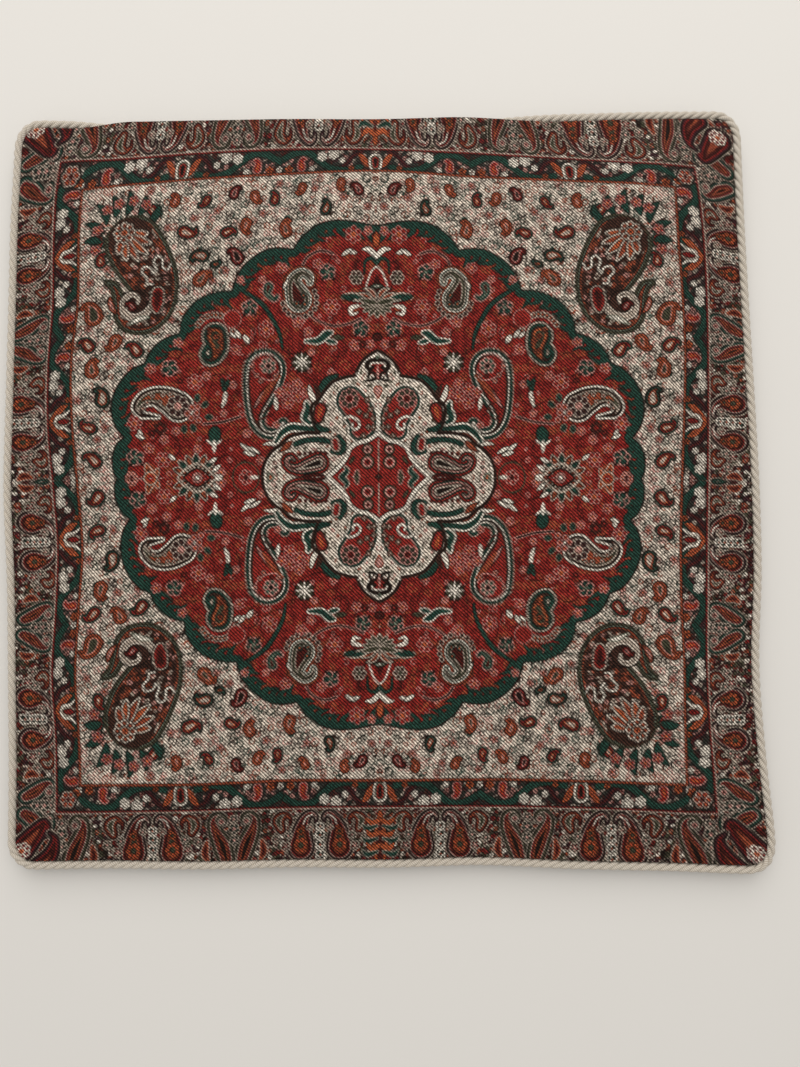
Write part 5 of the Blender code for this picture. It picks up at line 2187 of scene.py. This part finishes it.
@dataclass
class Grower:
    """A Geometry Nodes tree with named inputs, and the mesh that it grows."""

    name: str
    tree: bpy.types.NodeTree = field(init=False)
    given: bpy.types.Node = field(init=False)

    def __post_init__(self) -> None:
        """Starts the tree with its geometry in and out."""
        self.tree = bpy.data.node_groups.new(self.name, "GeometryNodeTree")
        sockets = self.tree.interface
        sockets.new_socket("Geometry", in_out="INPUT", socket_type="NodeSocketGeometry")
        sockets.new_socket("Geometry", in_out="OUTPUT", socket_type="NodeSocketGeometry")
        self.given = self.tree.nodes.new("NodeGroupInput")

    def needs(self, name: str, kind: str) -> bpy.types.NodeSocket:
        """Adds a named input and gives the socket that carries it."""
        self.tree.interface.new_socket(name, in_out="INPUT", socket_type="NodeSocket" + kind)
        return self.given.outputs[name]

    def ends(self, geometry: bpy.types.NodeSocket, material: bpy.types.NodeSocket) -> None:
        """Makes what was grown real, smooth and of one material.

        Args:
            geometry: What was grown.
            material: Its material.
        """
        real = add_node(
            self.tree, "GeometryNodeRealizeInstances", {"Geometry": geometry}
        ).outputs[0]
        smooth = add_node(self.tree, "GeometryNodeSetShadeSmooth", {"Geometry": real}).outputs[0]
        dressed = add_node(
            self.tree, "GeometryNodeSetMaterial", {"Geometry": smooth, "Material": material}
        )
        out = self.tree.nodes.new("NodeGroupOutput")
        self.tree.links.new(dressed.outputs[0], out.inputs[0])

    def grow(self, values: dict, base: Optional[bpy.types.Mesh] = None) -> bpy.types.Object:
        """Grows a plain mesh.

        Args:
            values: What each named input is set to.
            base: The mesh that goes in, if the tree reads one.

        Returns:
            The piece, with no modifier left on it.
        """
        seed = bpy.data.objects.new(
            self.name + "_seed", base or bpy.data.meshes.new(self.name + "_seed")
        )
        bpy.context.scene.collection.objects.link(seed)
        modifier = seed.modifiers.new("grow", "NODES")
        modifier.node_group = self.tree
        ids = {s.name: s.identifier for s in self.tree.interface.items_tree if s.in_out == "INPUT"}
        for name, value in values.items():
            modifier[ids[name]] = value
        shown = seed.evaluated_get(bpy.context.evaluated_depsgraph_get())
        data = bpy.data.meshes.new_from_object(shown)
        bpy.data.objects.remove(seed)
        data.name = self.name
        made = bpy.data.objects.new(self.name, data)
        bpy.context.scene.collection.objects.link(made)
        return made


@dataclass
class EdgeCord:
    """The twisted cord sewn round the edge, and the tape it is sewn to."""

    form: CoverForm
    strands: int = 3
    strand_radius: float = 1.38
    strand_reach: float = 1.32
    turns: int = 103
    points: int = 1648
    sides: int = 12
    setting: float = 3.0
    slip: float = 3.6
    slip_in: float = 0.9

    def path(self) -> bpy.types.Mesh:
        """The line that the cord's middle follows."""
        reach = self.form.half + self.setting
        along = np.linspace(-1, 1, 161)[:-1]
        corner = np.ones_like(along)
        x = np.concatenate([along, corner, -along, -corner]) * reach
        y = np.concatenate([-corner, along, corner, -along]) * reach
        px, py = self.form.plan(x, y)
        slipped = self.form.tucked(px) * (py > 0) * smooth_step((py - 190) / 25)
        z = self.form.seam - self.slip * slipped
        py = py - self.slip_in * slipped
        points = np.stack([px, py, z], -1) * MM
        data = bpy.data.meshes.new("cord_path")
        count = len(points)
        data.from_pydata(points.tolist(), [(i, (i + 1) % count) for i in range(count)], [])
        return data

    def tree(self) -> Grower:
        """The tree that winds the strands about the path."""
        made = Grower("edge_cord_twist")
        count = made.needs("Points", "Int")
        turns, reach, radius = (made.needs(n, "Float") for n in ("Turns", "Reach", "Radius"))
        material = made.needs("Material", "Material")
        tree = made.tree
        curve = add_node(
            tree, "GeometryNodeMeshToCurve", {"Mesh": made.given.outputs["Geometry"]}
        ).outputs[0]
        even = add_node(
            tree, "GeometryNodeResampleCurve", {"Curve": curve, "Count": count}
        ).outputs[0]
        share = add_node(tree, "GeometryNodeSplineParameter").outputs["Factor"]
        ahead = add_node(tree, "GeometryNodeInputTangent").outputs[0]
        side = add_node(
            tree, "ShaderNodeVectorMath", {0: ahead, 1: (0.0, 0.0, 1.0)}, operation="CROSS_PRODUCT"
        ).outputs[0]
        profile = add_node(
            tree, "GeometryNodeCurvePrimitiveCircle", {"Resolution": self.sides, "Radius": radius}
        ).outputs["Curve"]
        joined = tree.nodes.new("GeometryNodeJoinGeometry")
        for strand in range(self.strands):
            wound = add_node(
                tree, "ShaderNodeMath", {0: share, 1: turns}, operation="MULTIPLY"
            ).outputs[0]
            angle = add_node(
                tree, "ShaderNodeMath",
                {0: wound, 1: 2 * math.pi, 2: 2 * math.pi * strand / self.strands},
                operation="MULTIPLY_ADD",
            ).outputs[0]
            parts = []
            for kind, way in (("COSINE", side), ("SINE", (0.0, 0.0, 1.0))):
                part = add_node(tree, "ShaderNodeMath", {0: angle}, operation=kind).outputs[0]
                part = add_node(
                    tree, "ShaderNodeMath", {0: part, 1: reach}, operation="MULTIPLY"
                ).outputs[0]
                parts.append(
                    add_node(
                        tree, "ShaderNodeVectorMath", {0: way, "Scale": part}, operation="SCALE"
                    ).outputs[0]
                )
            offset = add_node(tree, "ShaderNodeVectorMath", {0: parts[0], 1: parts[1]}).outputs[0]
            moved = add_node(
                tree, "GeometryNodeSetPosition", {"Geometry": even, "Offset": offset}
            ).outputs[0]
            swept = add_node(
                tree, "GeometryNodeCurveToMesh", {"Curve": moved, "Profile Curve": profile}
            ).outputs[0]
            tree.links.new(swept, joined.inputs[0])
        made.ends(joined.outputs[0], material)
        return made

    def build(self) -> None:
        """Makes the cord and its tape."""
        values = {
            "Points": self.points, "Turns": float(self.turns), "Reach": self.strand_reach * MM,
            "Radius": self.strand_radius * MM, "Material": CordYarn().material(),
        }
        cord = self.tree().grow(values, self.path())
        cord.name = "edge_cord_twisted"
        self.wrap(cord.data)
        finish_piece(cord, "cushion", "cord_yarn", "edge_cord")
        self.tape()

    def wrap(self, data: bpy.types.Mesh) -> None:
        """Measures how deep each point lies in the cord and lays a map along each strand.

        Args:
            data: The cord's mesh.
        """
        shape = (self.strands, self.points, self.sides)
        places = np.zeros(len(data.vertices) * 3, np.float32)
        data.vertices.foreach_get("co", places)
        places = places.reshape(*shape, 3)
        middle = places.mean((0, 2))[None, :, None, :]
        depth = np.linalg.norm(places - middle, axis=-1) / (
            (self.strand_reach + self.strand_radius) * MM
        )
        # This depth darkens the grooves between the strands: painted shade together with the dark
        # yarn.
        layer = data.attributes.new("groove_shade_depth", "FLOAT", "POINT")
        layer.data.foreach_set("value", depth.astype(np.float32).ravel())
        corners = np.zeros(len(data.loops), np.int32)
        data.loops.foreach_get("vertex_index", corners)
        at = corners.reshape(-1, 4) % (self.points * self.sides)
        along, around = (at // self.sides).astype(float), (at % self.sides).astype(float)
        for value, count in ((along, self.points), (around, self.sides)):
            wide = value.max(1) - value.min(1) > count / 2
            value[wide[:, None] & (value < count / 2)] += count
        # A diagonal wave texture has one band for every 0.2 * pi; both ways round close on one.
        fibres = round(1750 / CordYarn().fibre_mm)
        uv = np.stack([along / self.points * fibres, -around / self.sides * 3], -1) * 0.2 * math.pi
        data.uv_layers.new(name="strand").data.foreach_set("uv", uv.astype(np.float32).ravel())

    def tape(self) -> None:
        """Makes the flat tape between the seam allowances."""
        shell = Shell()
        along = np.linspace(-1, 1, 101)[:-1]
        corner = np.ones_like(along)
        x = np.concatenate([along, corner, -along, -corner])
        y = np.concatenate([-corner, along, corner, -along])
        rings = []
        for inset, height in ((0.0, 9.75), (0.0, 10.3), (10.0, 10.3), (10.0, 9.75)):
            reach = self.form.half - inset
            px, py = self.form.plan(x * reach, y * reach)
            rings.append(shell.add(np.stack([px, py, np.full(len(px), height)], -1)))
        for lower, upper in zip(rings, rings[1:] + rings[:1]):
            shell.wall(lower, upper)
        piece = shell.mesh("cord_flange")
        piece.data.materials.append(CORD_TAPE.material())
        finish_piece(piece, "cushion", "cord_yarn", "cord_tape")


@dataclass
class ZipFrame:
    """Turns places on the zip into places on the cushion.

    X runs along the zip, Y inwards across it, and Z into the cover from the tapes' inner side.
    """

    line: float = -197.3
    inset: float = 22.0
    depth: float = 1.5
    slope: float = field(init=False)
    height: float = field(init=False)

    def __post_init__(self) -> None:
        """Works out how far the cloth leans there."""
        form = CoverForm()
        self.height = float(form.back(np.array(self.inset)))
        rise = form.back(np.array([self.inset - 0.01, self.inset + 0.01]))
        self.slope = math.atan(float(rise[0] - rise[1]) / 0.02)

    def place(self, points: np.ndarray) -> np.ndarray:
        """The cushion's places, in millimetres, of places on the zip."""
        c, s = math.cos(self.slope), math.sin(self.slope)
        y, z = points[..., 1], points[..., 2] + self.depth
        return np.stack(
            [points[..., 0], self.line + y * c + z * s, self.height - y * s + z * c], -1
        )


class RowKind(Enum):
    """What a row repeats."""

    COIL = "coil"
    STITCH = "stitch"


@dataclass
class Zip:
    """The hidden zip: woven tapes, coils, stitching, stops, slider and puller."""

    frame: ZipFrame = field(default_factory=ZipFrame)
    tape_half: float = 158.0
    coil_half: float = 146.2
    coil_pitch: float = 1.42
    coil_wire: float = 0.56
    stitch_pitch: float = 3.4
    stitch_half: float = 149.5
    stitch_line: float = 6.9

    def tape(self, label: str, side: int) -> bpy.types.Object:
        """Makes one woven tape, with a raised cord of weave beside its coil.

        Args:
            label: What its side is called.
            side: 1 or -1, its side of the zip's middle line.

        Returns:
            The tape.
        """
        xs = np.linspace(-self.tape_half, self.tape_half, 120)
        ys = np.array([0.5, 0.8, 3.2, 3.7, 4.2, 7.5, 11.2, 11.5])
        lift = np.array([0.1, 0.0, 0.0, 0.12, 0.0, 0.0, 0.0, 0.1])
        ys, lift = (ys, lift) if side > 0 else (-ys[::-1], lift[::-1])
        x, y = np.meshgrid(xs, ys)
        shell = Shell()
        low = np.repeat(-0.5 + lift[:, None], len(xs), 1)
        high = np.repeat(0.0 - lift[:, None], len(xs), 1)
        below = shell.grid(self.frame.place(np.stack([x, y, low], -1)), False)
        above = shell.grid(self.frame.place(np.stack([x, y, high], -1)), True)
        shell.wall(below, above)
        piece = shell.mesh("zip_tape_woven_" + label)
        piece.data.materials.append(TAPE.material())
        finish_piece(piece, "cushion", "zip_tape", "zip_tape_" + label)
        return piece

    def row_tree(self, kind: RowKind) -> Grower:
        """The tree that repeats one coil loop or one stitch along a line.

        Args:
            kind: What it repeats.

        Returns:
            The tree, ready to grow.
        """
        made = Grower("zip_" + kind.value + "_row")
        tree = made.tree
        count = made.needs("Count", "Int")
        start, step, tilt = (made.needs(n, "Vector") for n in ("Start", "Step", "Tilt"))
        length, height, wire = (made.needs(n, "Float") for n in ("Length", "Height", "Wire"))
        material = made.needs("Material", "Material")
        line = add_node(
            tree, "GeometryNodeMeshLine", {"Count": count, "Start Location": start, "Offset": step},
            mode="OFFSET"
        ).outputs[0]
        radius = add_node(
            tree, "ShaderNodeMath", {0: wire, 1: 0.5}, operation="MULTIPLY"
        ).outputs[0]
        profile = add_node(
            tree, "GeometryNodeCurvePrimitiveCircle", {"Resolution": 5, "Radius": radius}
        ).outputs[0]
        if kind is RowKind.COIL:
            loop = add_node(
                tree, "GeometryNodeCurvePrimitiveQuadrilateral", {"Width": length, "Height": height}
            ).outputs[0]
            bend = add_node(
                tree, "ShaderNodeMath", {0: height, 1: 0.42}, operation="MULTIPLY"
            ).outputs[0]
            loop = add_node(
                tree, "GeometryNodeFilletCurve", {"Curve": loop, "Radius": bend}, mode="POLY"
            ).outputs[0]
            loop = add_node(
                tree, "GeometryNodeTransform",
                {"Geometry": loop, "Rotation": (math.pi / 2, 0.0, math.pi / 2)}
            ).outputs[0]
        else:
            ends = []
            for way in (-0.5, 0.5):
                x = add_node(
                    tree, "ShaderNodeMath", {0: length, 1: way}, operation="MULTIPLY"
                ).outputs[0]
                ends.append(add_node(tree, "ShaderNodeCombineXYZ", {"X": x}).outputs[0])
            drop = add_node(
                tree, "ShaderNodeMath", {0: height, 1: -2.0}, operation="MULTIPLY"
            ).outputs[0]
            low = add_node(tree, "ShaderNodeCombineXYZ", {"Z": drop}).outputs[0]
            loop = add_node(
                tree, "GeometryNodeCurveQuadraticBezier",
                {"Resolution": 4, "Start": ends[0], "Middle": low, "End": ends[1]}
            ).outputs[0]
        one = add_node(
            tree, "GeometryNodeCurveToMesh",
            {"Curve": loop, "Profile Curve": profile, "Fill Caps": kind is RowKind.STITCH},
        ).outputs[0]
        many = add_node(
            tree, "GeometryNodeInstanceOnPoints",
            {"Points": line, "Instance": one, "Rotation": tilt}
        ).outputs[0]
        made.ends(many, material)
        return made

    def row(
        self, tree: Grower, name: str, place: np.ndarray, count: int, pitch: float,
        sizes: Sequence[float], finish: Finish,
    ) -> bpy.types.Object:
        """Grows one row.

        Args:
            tree: What it repeats.
            name: What it is called.
            place: The first one's place on the zip.
            count: How many there are.
            pitch: How far apart.
            sizes: One's length, height and wire.
            finish: Its material.

        Returns:
            The row.
        """
        values = {
            "Count": count, "Start": tuple(self.frame.place(place) * MM),
            "Step": (pitch * MM, 0.0, 0.0), "Tilt": (-self.frame.slope, 0.0, 0.0),
            "Material": finish.material(),
        }
        values.update({n: s * MM for n, s in zip(("Length", "Height", "Wire"), sizes)})
        made = tree.grow(values)
        made.name = name
        return made

    def build(self, nodes: dict[str, bpy.types.Object]) -> None:
        """Makes the zip.

        Args:
            nodes: The solids, of which the metal ones are kept.
        """
        coils, stitches = self.row_tree(RowKind.COIL), self.row_tree(RowKind.STITCH)
        teeth = int(2 * self.coil_half / self.coil_pitch)
        sewn = int(2 * self.stitch_half / self.stitch_pitch)
        for label, side in (("inner", 1), ("outer", -1)):
            self.tape(label, side)
            first = -self.coil_half + (0.4 if side > 0 else 0.4 + self.coil_pitch / 2)
            place = np.array([first, side * 1.6, -1.15])
            sizes = (2.1, 0.72, self.coil_wire)
            row = self.row(coils, "zip_coil_" + label, place, teeth, self.coil_pitch, sizes, COIL)
            finish_piece(row, "cushion", "zip_coil", "zip_teeth_" + label)
            place = np.array(
                [-self.stitch_half + 1.6, side * self.stitch_line, -self.frame.depth - 0.1]
            )
            sizes = (2.9, 0.2, 0.42)
            row = self.row(
                stitches, "zip_stitching_" + label, place, sewn, self.stitch_pitch, sizes, THREAD
            )
            finish_piece(row, "cushion", "thread", "zip_thread_" + label)
        for name in (
            "zip_slider", "zip_puller", "zip_bottom_stop", "zip_top_stop_inner",
            "zip_top_stop_outer",
        ):
            self.plate(nodes[name])

    def plate(self, node: bpy.types.Object) -> None:
        """Plates a kept metal solid and rounds its edges.

        Args:
            node: The solid.
        """
        node.data.materials.clear()
        node.data.materials.append(PlatedZinc().material())
        weld = node.modifiers.new("weld", "WELD")
        weld.merge_threshold = 0.02 * MM
        bevel = node.modifiers.new("worn_edge", "BEVEL")
        bevel.width, bevel.segments, bevel.limit_method = 0.16 * MM, 2, "ANGLE"
        bevel.angle_limit = math.radians(40)
        LOG.info("%s: kept and plated", node.name)


@dataclass
class Pad:
    """The loose pad: a calico case in two halves, with wadding in it."""

    form: CoverForm
    face: FaceCloth
    swell: np.ndarray
    step: float = 5.0

    def layer(
        self, name: str, node: str, slot: str, finish: Finish, start: float, lower: Callable,
        upper: Callable,
    ) -> bpy.types.Object:
        """Makes one closed layer.

        Args:
            name: What it is called.
            node: The solid it stands for.
            slot: A label handed on to finish_piece.
            finish: Its material.
            start: How far inside the seam it begins.
            lower: Its lower side's height over the inset and the face's rise.
            upper: Its upper side's height.

        Returns:
            The layer.
        """
        reach = self.form.half - start
        side = np.linspace(-reach, reach, int(2 * reach / self.step) + 1)
        x, y = np.meshgrid(side, side)
        inset = self.form.inset(x, y)
        px, py = self.form.plan(x, y)
        rise = (
            self.face.heights(x, y, self.swell) - self.form.face(inset)
        ) * smooth_step((inset - 12) / 30)
        shell = Shell()
        below = shell.grid(np.stack([px, py, lower(inset, rise)], -1), False)
        above = shell.grid(np.stack([px, py, upper(inset, rise)], -1), True)
        shell.wall(below, above)
        piece = shell.mesh(name)
        piece.data.materials.append(finish.material())
        return finish_piece(piece, "cushion", slot, node)

    def build(self) -> None:
        """Makes the case and the wadding."""
        form = self.form
        middle, half_gap, cloth = 13.0, 0.15, 0.5
        sides = (
            ("upper", "face", lambda i, r: np.maximum(
                form.pad_face(i) + r - cloth, middle + half_gap
            ),
             lambda i, r: form.pad_face(i) + r),
            ("lower", "back", lambda i, r: form.pad_back(i),
             lambda i, r: np.minimum(form.pad_back(i) + cloth, middle - half_gap)),
        )
        for name, node, lower, upper in sides:
            case = self.layer(
                "pad_case_" + name, "pad_case_" + node, "pad_cloth", PAD_CLOTH, 12.0, lower, upper,
            )
        filling = self.layer(
            "pad_wadding", "pad_filling", "wadding", WADDING, 16.8,
            lambda i, r: form.pad_back(i) + 1.1, lambda i, r: form.pad_face(i) + r - 1.1,
        )


@dataclass
class Studio:
    """The pale floor, the soft light and the camera above."""

    floor_colour: str = "#DEDBD6"
    eye: tuple[float, float, float] = (12.8, -55.3, 489.0)
    turn: tuple[float, float, float] = (3.09, 0.40, -0.84)
    lens: float = 27.0

    def build(self) -> None:
        """Sets up the studio."""
        scene = bpy.context.scene
        scene.view_settings.view_transform = "Standard"
        self.floor()
        self.light("window_light", (0.05, 1.25, 1.35), (-42, 2, 0), 2.0, 24.0)
        self.light("fill_light", (0.1, -0.2, 2.2), (5, 3, 0), 2.6, 6.5)
        world = bpy.data.worlds.new("soft_room")
        world.use_nodes = True
        world.node_tree.nodes["Background"].inputs["Color"].default_value = linear("#EDEBE8")
        world.node_tree.nodes["Background"].inputs["Strength"].default_value = 0.65
        scene.world = world
        camera = bpy.data.cameras.new("camera")
        camera.lens, camera.sensor_width, camera.clip_start = self.lens, 36.0, 0.01
        eye = bpy.data.objects.new("camera", camera)
        eye.location = [c * MM for c in self.eye]
        eye.rotation_euler = [math.radians(a) for a in self.turn]
        scene.collection.objects.link(eye)
        scene.camera = eye

    def floor(self) -> None:
        """Lays a plain painted board under the cushion."""
        shell = Shell()
        side = np.linspace(-3000, 3000, 3)
        x, y = np.meshgrid(side, side)
        shell.grid(np.stack([x, y, np.full(x.shape, -0.05)], -1), True)
        board = shell.mesh("floor")
        made = bpy.data.materials.new("painted_board")
        made.use_nodes = True
        shader = made.node_tree.nodes["Principled BSDF"]
        shader.inputs["Base Color"].default_value = linear(self.floor_colour)
        shader.inputs["Roughness"].default_value = 0.9
        board.data.materials.append(made)

    def light(
        self, name: str, place: Sequence[float], turn: Sequence[float], size: float, power: float
    ) -> None:
        """Hangs one large soft light.

        Args:
            name: What it is called.
            place: Where it hangs, in metres.
            turn: How it turns from looking straight down, in degrees.
            size: Its side in metres.
            power: Its power in watts.
        """
        lamp = bpy.data.lights.new(name, "AREA")
        lamp.size, lamp.energy = size, power
        lamp.color = linear("#FFFDFA")[:3]
        hung = bpy.data.objects.new(name, lamp)
        hung.location, hung.rotation_euler = place, [math.radians(a) for a in turn]
        bpy.context.scene.collection.objects.link(hung)


def main() -> None:
    """Builds the cushion and its studio."""
    logging.basicConfig(level=logging.INFO, format="%(name)s: %(message)s")
    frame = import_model()
    form = CoverForm()
    face = FaceCloth(form)
    swell = Stuffing(form).swell()
    face.build(swell)
    BackCloth(form).build()
    EdgeCord(form).build()
    Zip().build(frame["nodes"])
    Pad(form, face, swell).build()
    Studio().build()


if __name__ == "__main__":
    main()
